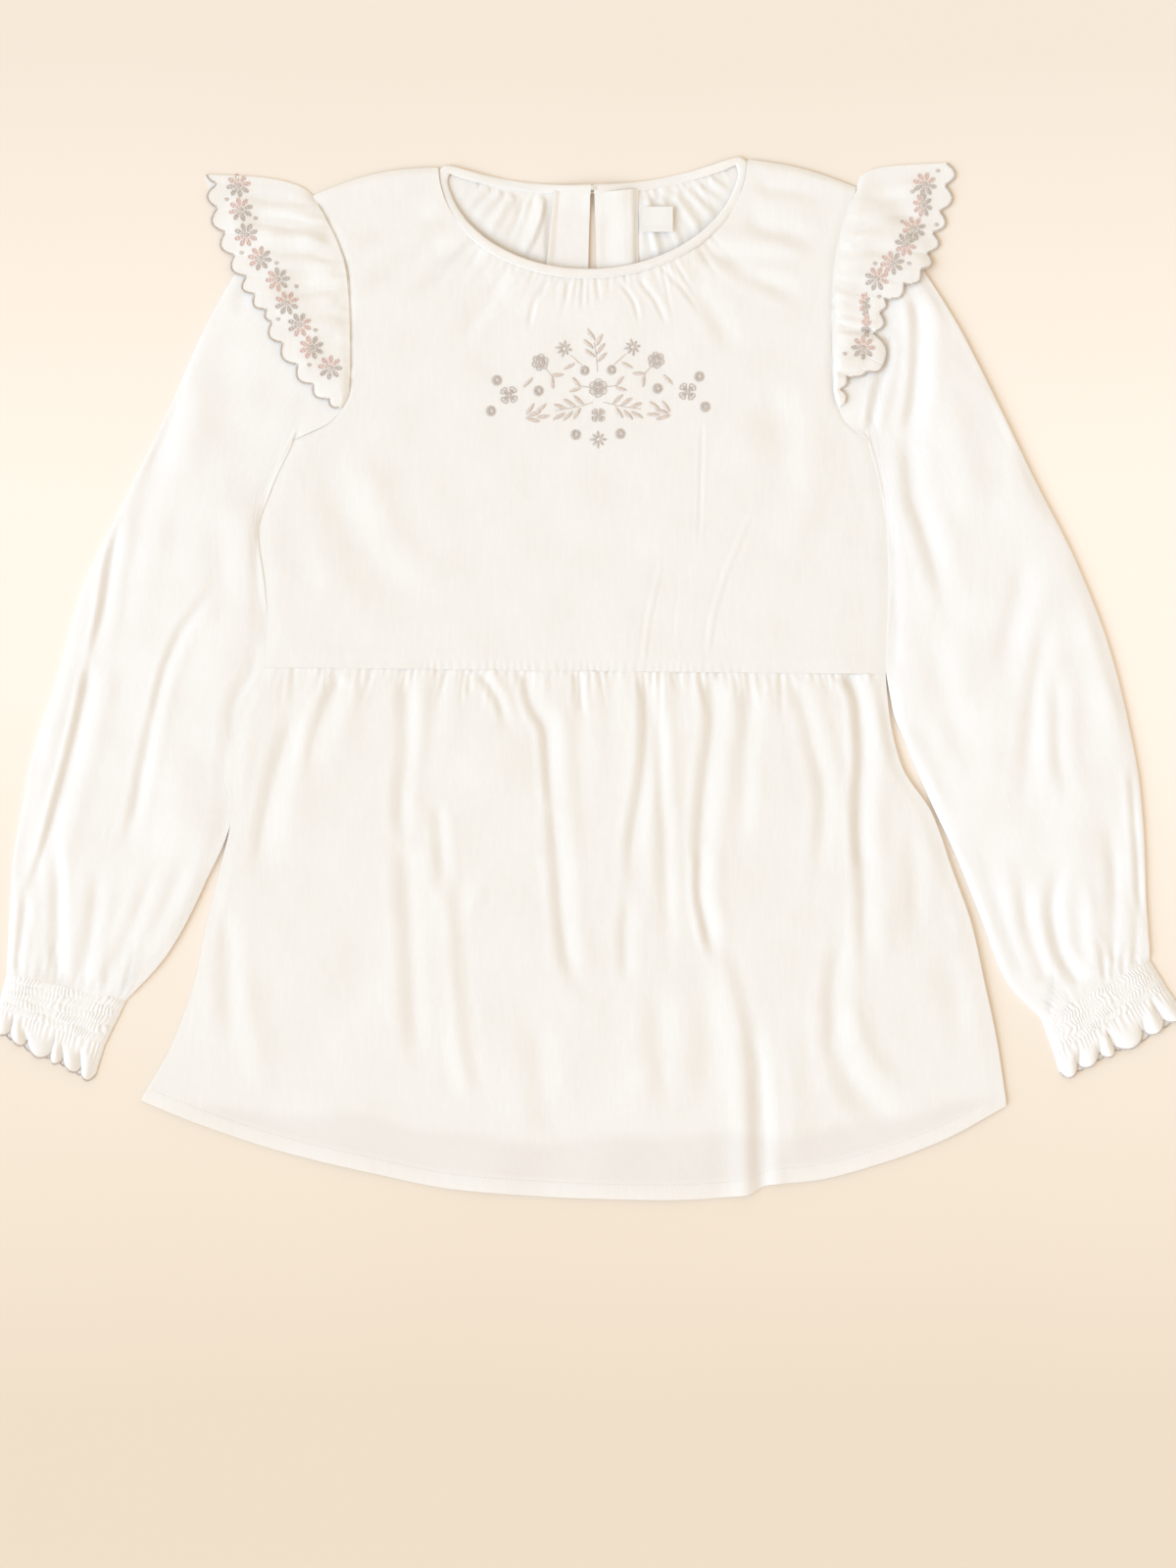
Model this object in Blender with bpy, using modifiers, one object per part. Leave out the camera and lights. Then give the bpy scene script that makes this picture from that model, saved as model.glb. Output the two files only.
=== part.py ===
"""A nursing blouse laid flat and face up: ivory cotton with a bound, gathered neck, a
back slit, an empire seam, a flared skirt, full sleeves with shirred cuffs and frills,
and scalloped ruffles over the shoulders.

Each piece of cloth is an open sheet or an open tube. Functions work out its points from
named sizes and short tables, and Solidify gives it its wall. Sizes are in millimetres:
X runs across the blouse towards the wearer's left, Y towards the neck, and Z up from
the surface that it lies on.
"""

import math
from typing import NamedTuple

import bmesh
import bpy
import numpy as np

MM = 0.001
WALL = 1.0  # cloth, seam to seam
GAP = 0.35  # between two pieces that meet
REST = WALL / 2  # middle of a sheet that lies on the surface
LAYER = WALL + GAP  # from the middle of one sheet to the middle of the next
RIGHT, LEFT = "right", "left"  # the wearer's; the right side is at -X
OUTWARD = {RIGHT: -1.0, LEFT: 1.0}

# Neck: the front neckline is half an ellipse, the back one a shallow curve.
NECK_X, NECK_Y = 1.3, 346.0
NECK_HALF, NECK_DEPTH, NECK_TILT = 98.5, 71.5, 0.025
BACK_NECK_Y, BACK_NECK_RISE, BACK_NECK_REACH = 331.5, 16.0, 95.0
BACK_REACH = NECK_HALF - 2.5  # from the neck's middle to where the binding turns forward
BINDING_WIDTH, BINDING_THICK = 6.5, 1.6
NECK_CORNER = 105.8  # from the neck's middle to where the shoulder seam ends
SLIT_X, SLIT_TOP, SLIT_MIDDLE, SLIT_LENGTH = 0.9, 2.2, 5.2, 108.0

# Empire seam, which falls a little towards the wearer's left.
SEAM_Y, SEAM_TILT = 4.5, -0.011

# Heights of the front above its own resting level.
BODICE_RISE, NECK_RISE, SKIRT_RISE = 3.0, 3.4, 3.6
BUTTON_LIFT = 3.8  # of the back neck, over the button under it
LIFT_ACROSS, LIFT_DOWN = 24.0, 16.0  # how far that lift reaches


class Armhole(NamedTuple):
    """One armhole: its shoulder end, its underarm end, and how far it bows inwards."""

    top_x: float
    top_y: float
    low_x: float
    low_y: float
    bow: float


class BowRow(NamedTuple):
    """How much of the bow the armhole has reached, at a share of its length."""

    along: float
    share: float


class EdgeRow(NamedTuple):
    """The body's side edges at one height."""

    y: float
    right_x: float
    left_x: float


class HemRow(NamedTuple):
    """The front and back hems at one place across the skirt."""

    x: float
    front_y: float
    back_y: float


class Fold(NamedTuple):
    """A trough in a panel: the shares down that it spans, and its shares across."""

    start: float
    end: float
    start_at: float
    middle_at: float
    end_at: float
    depth: float
    width: float


class SleeveRow(NamedTuple):
    """One section across a flattened sleeve, from its outer edge to its inner edge."""

    outer_x: float
    outer_y: float
    inner_x: float
    inner_y: float
    bow: float
    puff: float


class Ridge(NamedTuple):
    """A ridge along a sleeve: the rows it spans, its places across, and its size."""

    start: float
    end: float
    start_at: float
    middle_at: float
    end_at: float
    height: float
    width: float


class RuffleRow(NamedTuple):
    """The ruffle's scalloped line at a share of its front half, from fold to end."""

    along: float
    edge_x: float
    edge_y: float
    rise: float


ARMHOLES = {
    RIGHT: Armhole(top_x=-187.0, top_y=324.5, low_x=-200.0, low_y=160.0, bow=35.0),
    LEFT: Armhole(top_x=178.5, top_y=330.0, low_x=187.0, low_y=160.0, bow=-22.0),
}
ARMHOLE_BOW = (
    BowRow(0.00, 0.00),
    BowRow(0.10, 0.30),
    BowRow(0.20, 0.56),
    BowRow(0.32, 0.77),
    BowRow(0.50, 0.90),
    BowRow(0.80, 1.00),
    BowRow(0.92, 0.70),
    BowRow(1.00, 0.00),
)
ARMHOLE_STEPS = (0.0, 0.11, 0.22, 0.35, 0.5, 0.65, 0.78, 0.87, 0.94, 1.0)
SHOULDER_ROOM = 0.05  # of the armhole, where the sleeve starts below the ruffle's fold
SHOULDER_BOW = {RIGHT: 5.0, LEFT: 3.0}
SIDE_HOLD = 6  # power by which a side edge's curve dies out across a panel
SHOULDER_SHARE = 0.24  # of the bodice's width at the seam
BACK_TURN_SHARE = 0.26  # of its width, below where the binding turns forward
NECK_STEPS = 16  # straight stretches round the front neckline

BODY_EDGES = (
    EdgeRow(160.0, -200.0, 187.0),
    EdgeRow(127.0, -215.5, 195.5),
    EdgeRow(97.0, -224.5, 200.0),
    EdgeRow(61.0, -220.0, 201.0),
    EdgeRow(34.0, -218.0, 200.0),
    EdgeRow(5.0, -221.0, 198.0),
    EdgeRow(-12.0, -232.0, 199.0),
    EdgeRow(-32.0, -239.0, 201.5),
    EdgeRow(-60.0, -240.5, 209.0),
    EdgeRow(-91.0, -241.5, 229.0),
    EdgeRow(-130.0, -249.5, 243.0),
    EdgeRow(-165.0, -258.0, 255.5),
    EdgeRow(-203.0, -266.0, 264.0),
    EdgeRow(-245.0, -281.0, 273.0),
    EdgeRow(-284.0, -303.0, 279.0),
)
HEM = (
    HemRow(-303.0, -284.0, -282.0),
    HemRow(-266.0, -299.0, -286.0),
    HemRow(-213.0, -317.0, -291.0),
    HemRow(-147.0, -333.0, -299.0),
    HemRow(-91.0, -344.0, -305.0),
    HemRow(-2.0, -350.0, -310.0),
    HemRow(51.0, -351.0, -310.0),
    HemRow(103.0, -348.0, -307.0),
    HemRow(120.0, -341.0, -306.0),
    HemRow(150.0, -338.0, -303.0),
    HemRow(196.0, -326.0, -297.0),
    HemRow(236.0, -311.0, -291.0),
    HemRow(279.0, -288.0, -285.0),
)
SKIRT_FOLDS = (
    Fold(0.00, 0.22, 0.126, 0.125, 0.115, 2.6, 0.019),
    Fold(0.08, 0.46, 0.081, 0.062, 0.048, 2.6, 0.019),
    Fold(0.00, 0.68, 0.234, 0.251, 0.278, 3.0, 0.021),
    Fold(0.00, 0.16, 0.353, 0.381, 0.405, 2.4, 0.018),
    Fold(0.00, 0.42, 0.422, 0.466, 0.471, 3.0, 0.020),
    Fold(0.00, 0.62, 0.625, 0.615, 0.600, 3.4, 0.022),
    Fold(0.00, 0.56, 0.714, 0.692, 0.662, 3.2, 0.020),
    Fold(0.50, 1.05, 0.665, 0.688, 0.704, 3.0, 0.020),
    Fold(0.02, 0.40, 0.784, 0.765, 0.722, 2.2, 0.018),
    Fold(0.04, 0.48, 0.861, 0.870, 0.802, 3.0, 0.021),
    Fold(0.00, 0.64, 0.943, 0.921, 0.850, 3.3, 0.021),
    Fold(0.60, 0.98, 0.812, 0.818, 0.862, 3.0, 0.021),
    Fold(0.66, 1.08, 0.735, 0.744, 0.750, 3.2, 0.020),
)
NECK_FOLDS = (
    Fold(0.00, 0.34, 0.370, 0.365, 0.350, 1.2, 0.028),
    Fold(0.00, 0.30, 0.450, 0.450, 0.440, 1.3, 0.025),
    Fold(0.00, 0.22, 0.490, 0.490, 0.490, 1.2, 0.022),
    Fold(0.00, 0.32, 0.540, 0.545, 0.555, 1.3, 0.025),
    Fold(0.00, 0.34, 0.625, 0.635, 0.650, 1.2, 0.028),
)

SLEEVES = {
    RIGHT: (
        SleeveRow(-187.7, 324.3, -201.4, 160.6, 35.0, 0.6),
        SleeveRow(-213.0, 301.0, -203.8, 157.6, 16.0, 1.0),
        SleeveRow(-240.0, 270.0, -217.8, 127.0, 10.0, 1.5),
        SleeveRow(-262.0, 230.0, -225.2, 107.0, 7.0, 2.2),
        SleeveRow(-285.0, 178.0, -225.5, 84.0, 3.0, 2.8),
        SleeveRow(-313.0, 121.0, -221.6, 58.0, 0.0, 3.2),
        SleeveRow(-341.0, 62.0, -221.6, 22.0, 0.0, 3.3),
        SleeveRow(-358.0, 2.0, -239.8, -26.0, 0.0, 3.3),
        SleeveRow(-373.0, -44.0, -243.0, -72.0, 0.0, 3.3),
        SleeveRow(-383.0, -91.0, -248.0, -106.0, 0.0, 3.3),
        SleeveRow(-389.0, -130.0, -263.0, -145.0, 0.0, 3.3),
        SleeveRow(-391.0, -165.0, -286.0, -187.0, 0.0, 3.3),
        SleeveRow(-393.0, -199.0, -313.0, -217.0, 0.0, 3.3),
    ),
    LEFT: (
        SleeveRow(179.2, 329.8, 188.4, 160.6, -22.0, 0.6),
        SleeveRow(203.0, 305.0, 190.5, 157.6, -12.0, 1.0),
        SleeveRow(226.0, 270.0, 198.5, 124.0, -9.0, 1.5),
        SleeveRow(246.0, 238.0, 202.2, 104.0, -4.0, 2.2),
        SleeveRow(274.0, 183.0, 203.2, 80.0, 0.0, 2.8),
        SleeveRow(298.0, 133.0, 203.0, 50.0, 0.0, 3.2),
        SleeveRow(325.0, 80.0, 201.0, 14.0, 0.0, 3.3),
        SleeveRow(348.0, 21.0, 202.6, -18.0, 0.0, 3.3),
        SleeveRow(361.0, -30.0, 213.0, -46.0, 0.0, 3.3),
        SleeveRow(369.0, -75.0, 229.0, -84.0, 0.0, 3.3),
        SleeveRow(372.0, -115.0, 245.0, -118.0, 0.0, 3.3),
        SleeveRow(373.0, -148.0, 262.0, -160.0, 0.0, 3.3),
        SleeveRow(374.5, -170.0, 279.5, -203.5, 0.0, 3.3),
        SleeveRow(376.0, -190.0, 303.0, -229.0, 0.0, 3.3),
    ),
}
SLEEVE_RIDGES = {
    RIGHT: (
        Ridge(4.0, 11.5, 0.10, 0.26, 0.10, 2.6, 0.10),
        Ridge(4.5, 10.5, 0.80, 0.66, 0.66, 2.4, 0.12),
        Ridge(2.5, 7.5, 0.30, 0.42, 0.44, 1.8, 0.12),
    ),
    LEFT: (
        Ridge(2.0, 7.0, 0.46, 0.52, 0.80, 2.4, 0.12),
        Ridge(5.0, 10.0, 0.20, 0.38, 0.52, 2.4, 0.12),
        Ridge(8.0, 12.5, 0.16, 0.24, 0.40, 2.2, 0.10),
    ),
}
SLEEVE_SPAN = len(ARMHOLE_STEPS) - 1
CUFF_LOW = {RIGHT: ((-399.0, -221.0), (-327.5, -247.0)), LEFT: ((387.0, -208.0), (311.5, -252.0))}
FRILL_LOW = {RIGHT: ((-402.5, -237.5), (-335.0, -269.0)), LEFT: ((402.0, -227.0), (317.0, -268.5))}
CUFF_PUFF, FRILL_PUFF, FRILL_SCALLOPS, FRILL_SCALLOP_DEPTH = 3.3, 3.4, 5, 4.5

RUFFLES = {
    RIGHT: (
        RuffleRow(0.00, -253.0, 335.0, 0.0),
        RuffleRow(0.12, -252.0, 317.0, 1.0),
        RuffleRow(0.27, -244.0, 291.0, 1.6),
        RuffleRow(0.45, -230.0, 261.0, 1.6),
        RuffleRow(0.62, -213.0, 234.0, 1.6),
        RuffleRow(0.80, -193.0, 204.0, 1.4),
        RuffleRow(0.92, -177.5, 189.0, 0.8),
        RuffleRow(1.00, -172.5, 180.5, 0.0),
    ),
    LEFT: (
        RuffleRow(0.00, 238.0, 342.0, 0.0),
        RuffleRow(0.12, 236.0, 316.0, 1.0),
        RuffleRow(0.27, 227.0, 286.0, 1.6),
        RuffleRow(0.42, 208.0, 263.0, 2.0),
        RuffleRow(0.56, 193.0, 240.0, 2.2),
        RuffleRow(0.74, 194.0, 215.0, 2.2),
        RuffleRow(0.88, 180.0, 201.0, 1.2),
        RuffleRow(1.00, 170.0, 186.0, 0.0),
    ),
}
RUFFLE_SCALLOPS, SCALLOP_DEPTH = 13, 5.5
RUFFLE_END = 0.87  # of the armhole, where the front half of a ruffle ends
RUFFLE_FLUTES = 6.0

FACING_HALF, FACING_LENGTH = 31.0, 114.0
FACING_EASE = 0.45  # of the facing and the label, off the curve of the lifted back
LABEL_X, LABEL_Y, LABEL_WIDTH, LABEL_HEIGHT = 44.5, 308.0, 21.0, 17.0
BUTTON_X, BUTTON_RADIUS, BUTTON_THICK, SHANK_RADIUS = 6.5, 4.0, 1.8, 1.2
LOOP_RADIUS, LOOP_CORD = 2.2, 0.9

IVORY = ("ivory cotton", (0.94, 0.92, 0.87), 0.85)
EDGED = ("ivory cotton, embroidered edge", (0.90, 0.86, 0.81), 0.85)
LABEL_WHITE = ("white label tape", (0.95, 0.95, 0.94), 0.7)
SHELL = ("pearl button", (0.90, 0.88, 0.84), 0.35)
THREAD = ("ivory thread", (0.88, 0.85, 0.78), 0.9)


def smooth(knots, values, at):
    """Read a curve through the knots that never overshoots them."""
    knots, values = np.asarray(knots, float), np.asarray(values, float)
    steps = np.diff(knots)
    rates = np.diff(values) / steps
    before, after = rates[:-1], rates[1:]
    total = np.where(before * after > 0, before + after, 1.0)
    inner = np.where(before * after > 0, 2 * before * after / total, 0.0)
    slopes = np.concatenate([rates[:1], inner, rates[-1:]])
    at = np.clip(at, knots[0], knots[-1])
    i = np.clip(np.searchsorted(knots, at, side="right") - 1, 0, len(steps) - 1)
    t = (at - knots[i]) / steps[i]
    return (
        values[i] * (1 + 2 * t) * (1 - t) ** 2
        + slopes[i] * steps[i] * t * (1 - t) ** 2
        + values[i + 1] * t**2 * (3 - 2 * t)
        + slopes[i + 1] * steps[i] * t**2 * (t - 1)
    )


def read(rows, key, value, at):
    """Read one column of a table as a smooth curve of another."""
    return smooth([getattr(r, key) for r in rows], [getattr(r, value) for r in rows], at)


def ease(x, low, high):
    """Rise smoothly from 0 at low to 1 at high."""
    t = np.clip((np.asarray(x, float) - low) / (high - low), 0.0, 1.0)
    return t * t * (3 - 2 * t)


def bell(x, width):
    """A soft bump of height 1 that is about twice its width across."""
    return np.exp(-((np.asarray(x, float) / width) ** 2))


def troughs(folds, across, down):
    """How deep the folds press at a share across a panel and a share down it."""
    total = 0.0
    for fold in folds:
        knots = (fold.start, (fold.start + fold.end) / 2, fold.end)
        centre = smooth(knots, (fold.start_at, fold.middle_at, fold.end_at), down)
        fade = 0.3 * (fold.end - fold.start)
        near = ease(down, fold.start - fade, fold.start + 0.01)
        far = 1 - ease(down, fold.end - fade, fold.end)
        press = fold.depth * bell(across - centre, fold.width) * near * far
        total = np.maximum(total, press)
    return total


# --- Lines that pieces share ---


def seam_y(x):
    return SEAM_Y + SEAM_TILT * x


def body_edge(side, y):
    """X of the body's side edge below the armhole."""
    rows = BODY_EDGES[::-1]
    return float(read(rows, "y", f"{side}_x", y))


def armhole_point(side, along):
    """(x, y) on the armhole, from the shoulder at 0 to the underarm at 1."""
    a = ARMHOLES[side]
    bow = a.bow * read(ARMHOLE_BOW, "along", "share", along)
    x = a.top_x + (a.low_x - a.top_x) * along + bow
    return np.array([float(x), a.top_y + (a.low_y - a.top_y) * along])


def front_neck(turn, out):
    """(x, y) on the front neckline, from the wearer's right at 0 to the left at pi."""
    x = NECK_X - (NECK_HALF + out) * math.cos(turn)
    y = NECK_Y - (NECK_DEPTH + out) * math.sin(turn) + NECK_TILT * x
    return np.array([x, y])


def back_neck(x, below):
    """(x, y) on the back neckline, a distance below the binding's top edge."""
    rise = BACK_NECK_RISE * (x / BACK_NECK_REACH) ** 2
    return np.array([x, BACK_NECK_Y - below + rise + NECK_TILT * x])


def neck_corner(side):
    """(x, y) where a shoulder seam meets the binding."""
    x = NECK_X + OUTWARD[side] * NECK_CORNER
    return np.array([x, NECK_Y + NECK_TILT * x])


def shoulder_point(side, share):
    """(x, y) on the shoulder seam, from the armhole at 0 to the neck at 1."""
    point = (1 - share) * armhole_point(side, 0.0) + share * neck_corner(side)
    return point + np.array([0.0, SHOULDER_BOW[side] * math.sin(math.pi * share)])


def bodice_side(side, rows_below):
    """The bodice's side edge from the shoulder down to the empire seam."""
    points = [armhole_point(side, along) for along in ARMHOLE_STEPS]
    low = points[-1][1]
    end = seam_y(body_edge(side, SEAM_Y)) + GAP / 2
    for y in np.linspace(low, end, rows_below + 1)[1:]:
        points.append(np.array([body_edge(side, y), y]))
    return np.array(points)


# --- From points to objects ---


def material(finish):
    """The Principled material of a finish, made once."""
    name, colour, roughness = finish
    found = bpy.data.materials.get(name)
    if found:
        return found
    made = bpy.data.materials.new(name)
    made.use_nodes = True
    shader = made.node_tree.nodes["Principled BSDF"]
    shader.inputs["Base Color"].default_value = (*colour, 1.0)
    shader.inputs["Roughness"].default_value = roughness
    shader.inputs["Metallic"].default_value = 0.0
    return made


def add_object(name, data, finish):
    """Put a mesh or a curve in the blouse's collection, under its name."""
    piece = bpy.data.objects.new(name, data)
    data.materials.append(material(finish))
    bpy.data.collections["nursing_blouse"].objects.link(piece)
    return piece


def sheet(name, points, finish, wall=WALL, closed=False, missing=None):
    """A wall of cloth through a grid of points, rows by columns.

    With closed, the last column meets the first, as a tube. missing(row, column) is
    true for a cell that is left open.
    """
    if closed:
        points = np.concatenate([points, points[:, :1]], axis=1)
    rows, columns = points.shape[:2]
    grid = bmesh.new()
    bmesh.ops.create_grid(grid, x_segments=columns - 1, y_segments=rows - 1, size=1.0)
    cells = np.array([columns - 1, rows - 1]) / 2.0
    if missing:
        centres = {f: (np.array(f.calc_center_median()[:2]) + 1) * cells for f in grid.faces}
        gone = [f for f, (column, row) in centres.items() if missing(int(row), int(column))]
        bmesh.ops.delete(grid, geom=gone, context="FACES")
    for vert in grid.verts:
        column, row = np.rint((np.array(vert.co[:2]) + 1) * cells).astype(int)
        vert.co = points[row, column] * MM
    if closed:
        bmesh.ops.remove_doubles(grid, verts=grid.verts[:], dist=1e-7)
    mesh = bpy.data.meshes.new(name)
    grid.to_mesh(mesh)
    grid.free()
    mesh.shade_smooth()
    piece = add_object(name, mesh, finish)
    solid = piece.modifiers.new("cloth wall", "SOLIDIFY")
    solid.thickness = wall * MM
    solid.offset = 0.0
    return piece


def patch(top, bottom, near, far, across, down):
    """A grid of plan points inside four edges that meet at their corners.

    top and bottom have a point for each value of across, near and far a point for each
    value of down. The side edges' curves die out quickly towards the middle.
    """
    u = across[None, :, None]
    v = down[:, None, None]
    ruled = (1 - v) * top[None] + v * bottom[None]
    near_bend = near[:, None] - (1 - v) * near[0] - v * near[-1]
    far_bend = far[:, None] - (1 - v) * far[0] - v * far[-1]
    return ruled + near_bend * (1 - u) ** SIDE_HOLD + far_bend * u**SIDE_HOLD


def with_heights(plan, heights):
    return np.concatenate([plan, np.asarray(heights)[..., None]], axis=-1)


# --- Bodice ---


def bodice_plan(across, neckline, rows_below):
    """Plan points of a bodice panel, and the share down of each row."""
    sides = {side: bodice_side(side, rows_below) for side in (RIGHT, LEFT)}
    top = []
    for u in across:
        if u < SHOULDER_SHARE:
            top.append(shoulder_point(RIGHT, u / SHOULDER_SHARE))
        elif u > 1 - SHOULDER_SHARE:
            top.append(shoulder_point(LEFT, (1 - u) / SHOULDER_SHARE))
        else:
            top.append(neckline((u - SHOULDER_SHARE) / (1 - 2 * SHOULDER_SHARE)))
    low = [sides[RIGHT][-1][0], SLIT_X, sides[LEFT][-1][0]]
    bottom_x = np.interp(across, (0.0, 0.5, 1.0), low)
    bottom = np.stack([bottom_x, seam_y(bottom_x) + GAP / 2], axis=-1)
    height = sides[RIGHT][:, 1]
    down = (height[0] - height) / (height[0] - height[-1])
    plan = patch(np.array(top), bottom, sides[RIGHT], sides[LEFT], across, down)
    return plan, down


def back_height(x, y):
    """Middle of the back panel, which the button lifts at the top of the slit."""
    near = bell(x - SLIT_X, LIFT_ACROSS) * bell(BACK_NECK_Y - np.asarray(y, float), LIFT_DOWN)
    return REST + BUTTON_LIFT * near


def back_neckline(share):
    """The back panel's edge below the binding, from shoulder end to shoulder end."""
    if share in (0.0, 1.0):
        return neck_corner(RIGHT if share == 0.0 else LEFT)
    turn = (BACK_TURN_SHARE - SHOULDER_SHARE) / (1 - 2 * SHOULDER_SHARE)
    place = (2 * share - 1) / (1 - 2 * turn)
    return back_neck(NECK_X + BACK_REACH * place, BINDING_WIDTH + 2 * GAP)


def slit_half(y):
    """Half the slit's width: narrow at its top, wider where the front crosses it."""
    depth = BACK_NECK_Y - np.asarray(y, float)
    knots = (0.0, 0.55 * SLIT_LENGTH, SLIT_LENGTH)
    return smooth(knots, (SLIT_TOP / 2, SLIT_MIDDLE / 2, SLIT_TOP / 2), depth)


def build_back_bodice():
    half_across = [0, 0.08, 0.16, SHOULDER_SHARE, BACK_TURN_SHARE, 0.31, 0.37, 0.43, 0.499]
    across = np.concatenate([half_across, 1 - np.array(half_across[::-1])])
    plan, down = bodice_plan(across, back_neckline, rows_below=4)
    left_of, right_of = len(half_across) - 1, len(half_across)
    half = slit_half(plan[:, left_of, 1])
    plan[:, left_of, 0] = SLIT_X - half
    plan[:, right_of, 0] = SLIT_X + half
    slit_rows = int((BACK_NECK_Y - plan[:, left_of, 1] < SLIT_LENGTH).sum()) - 1
    points = with_heights(plan, back_height(plan[..., 0], plan[..., 1]))
    sheet(
        "back_bodice",
        points,
        IVORY,
        missing=lambda row, column: column == left_of and row < slit_rows,
    )


def front_neckline(share):
    if share in (0.0, 1.0):
        return neck_corner(RIGHT if share == 0.0 else LEFT)
    return front_neck(math.pi * share, BINDING_WIDTH + 2 * GAP)


def neck_height(share):
    """Middle of the front neck edge, from one shoulder end to the other."""
    return REST + LAYER + NECK_RISE * ease(np.minimum(share, 1 - share), 0.0, 0.35)


def build_front_bodice():
    neck = np.linspace(SHOULDER_SHARE, 1 - SHOULDER_SHARE, NECK_STEPS + 1)
    shoulder = np.linspace(0.0, SHOULDER_SHARE, 4)[:-1]
    across = np.concatenate([shoulder, neck, 1 - shoulder[::-1]])
    plan, down = bodice_plan(across, front_neckline, rows_below=5)
    u, v = np.meshgrid(across, down)
    share = np.clip((u - SHOULDER_SHARE) / (1 - 2 * SHOULDER_SHARE), 0, 1)
    inside = ease(np.minimum(u, 1 - u), 0.0, 0.16) * ease(v, 0.0, 0.16)
    at_neck = (neck_height(share) - REST - LAYER) * (1 - ease(v, 0.0, 0.4))
    at_seam = 0.8 * ease(v, 0.8, 1.0)
    rise = np.maximum(BODICE_RISE * inside, at_neck) + at_seam * ease(np.minimum(u, 1 - u), 0, 0.1)
    rise = rise - np.minimum(troughs(NECK_FOLDS, u, v), 0.8 * rise)
    sheet("front_bodice", with_heights(plan, REST + LAYER + rise), IVORY)


# --- Skirt ---


def skirt_plan(columns, rows, hem_column):
    """Plan points of a skirt panel down to its own hem."""
    across = np.linspace(0.0, 1.0, columns + 1)
    down = np.linspace(0.0, 1.0, rows + 1)
    sides = {}
    for side, row in ((RIGHT, HEM[0]), (LEFT, HEM[-1])):
        start = seam_y(body_edge(side, SEAM_Y)) - GAP / 2
        y = start + (getattr(row, hem_column) - start) * down
        sides[side] = np.array([[body_edge(side, h), h] for h in y])
    top_x = np.interp(across, (0.0, 1.0), (sides[RIGHT][0][0], sides[LEFT][0][0]))
    top = np.stack([top_x, seam_y(top_x) - GAP / 2], axis=-1)
    hem_x = np.interp(across, (0.0, 1.0), (sides[RIGHT][-1][0], sides[LEFT][-1][0]))
    hem = np.stack([hem_x, read(HEM, "x", hem_column, hem_x)], axis=-1)
    hem[0], hem[-1] = sides[RIGHT][-1], sides[LEFT][-1]
    return patch(top, hem, sides[RIGHT], sides[LEFT], across, down), across, down


def build_back_skirt():
    plan, _, _ = skirt_plan(columns=12, rows=6, hem_column="back_y")
    sheet("back_skirt", with_heights(plan, np.full(plan.shape[:2], REST)), IVORY)


def build_front_skirt():
    plan, across, down = skirt_plan(columns=54, rows=9, hem_column="front_y")
    u, v = np.meshgrid(across, down)
    rise = SKIRT_RISE * ease(np.minimum(u, 1 - u), 0.0, 0.05) * (0.45 + 0.55 * ease(v, 0.0, 0.12))
    rise = rise * (1 - 0.35 * ease(v, 0.8, 1.0))
    rise = rise - np.minimum(troughs(SKIRT_FOLDS, u, v), 0.95 * rise)
    sheet("front_skirt", with_heights(plan, REST + LAYER + rise), IVORY)


# --- Sleeves, cuffs and frills ---


def arch(at):
    """A flattened tube's upper side: level across, and round at its two edges."""
    return 1 - np.abs(2 * np.asarray(at, float) - 1) ** 4


def ring(line, floor, heights):
    """One ring of a flattened tube: the line out and back, below and then above."""
    lower = with_heights(line, np.full(len(line), floor))
    upper = with_heights(line, floor + LAYER + np.asarray(heights))[::-1]
    return np.concatenate([lower, upper])


def sleeve_floor(row_number):
    """Middle of the sleeve's lower layer, which lies on the ruffle's hidden half."""
    return REST + LAYER * (1 - float(ease(row_number, 4.5, 6.0)))


def sleeve_line(row, at, at_armhole):
    """Plan points across a section: bowed as the armhole is, or in a plain arc."""
    start = np.array([row.outer_x, row.outer_y])
    end = np.array([row.inner_x, row.inner_y])
    line = start + (end - start) * at[:, None]
    shape = read(ARMHOLE_BOW, "along", "share", at) if at_armhole else np.sin(math.pi * at)
    line[:, 0] += row.bow * shape
    return line


def ridge_height(side, row_number, at):
    total = np.zeros(len(at))
    for ridge in SLEEVE_RIDGES[side]:
        knots = (ridge.start, (ridge.start + ridge.end) / 2, ridge.end)
        centre = smooth(knots, (ridge.start_at, ridge.middle_at, ridge.end_at), row_number)
        reach = ease(row_number, ridge.start - 0.5, ridge.start + 1.5)
        reach = reach * (1 - ease(row_number, ridge.end - 1.5, ridge.end + 0.5))
        total += ridge.height * bell(at - centre, ridge.width) * reach
    return total


def sleeve_grid(side):
    """Rings of a sleeve, from the armhole to the cuff.

    The first one leaves room at the shoulder for the ruffle to turn over.
    """
    rings = []
    for number, row in enumerate(SLEEVES[side]):
        at = np.array(ARMHOLE_STEPS)
        if number == 0:
            at[0] = SHOULDER_ROOM
        heights = row.puff * arch(at) + ridge_height(side, number, at) * np.sqrt(arch(at))
        rings.append(ring(sleeve_line(row, at, number == 0), sleeve_floor(number), heights))
    return np.array(rings)


def cuff_ends(side):
    """The outer and inner points of a cuff's top edge, a gap below the sleeve's end."""
    last = SLEEVES[side][-1]
    outer = np.array([last.outer_x, last.outer_y])
    inner = np.array([last.inner_x, last.inner_y])
    low_outer, low_inner = np.array(CUFF_LOW[side])
    down = (low_outer + low_inner - outer - inner) / 2
    step = GAP * 1.3 * down / np.linalg.norm(down)
    return outer + step, inner + step


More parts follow.
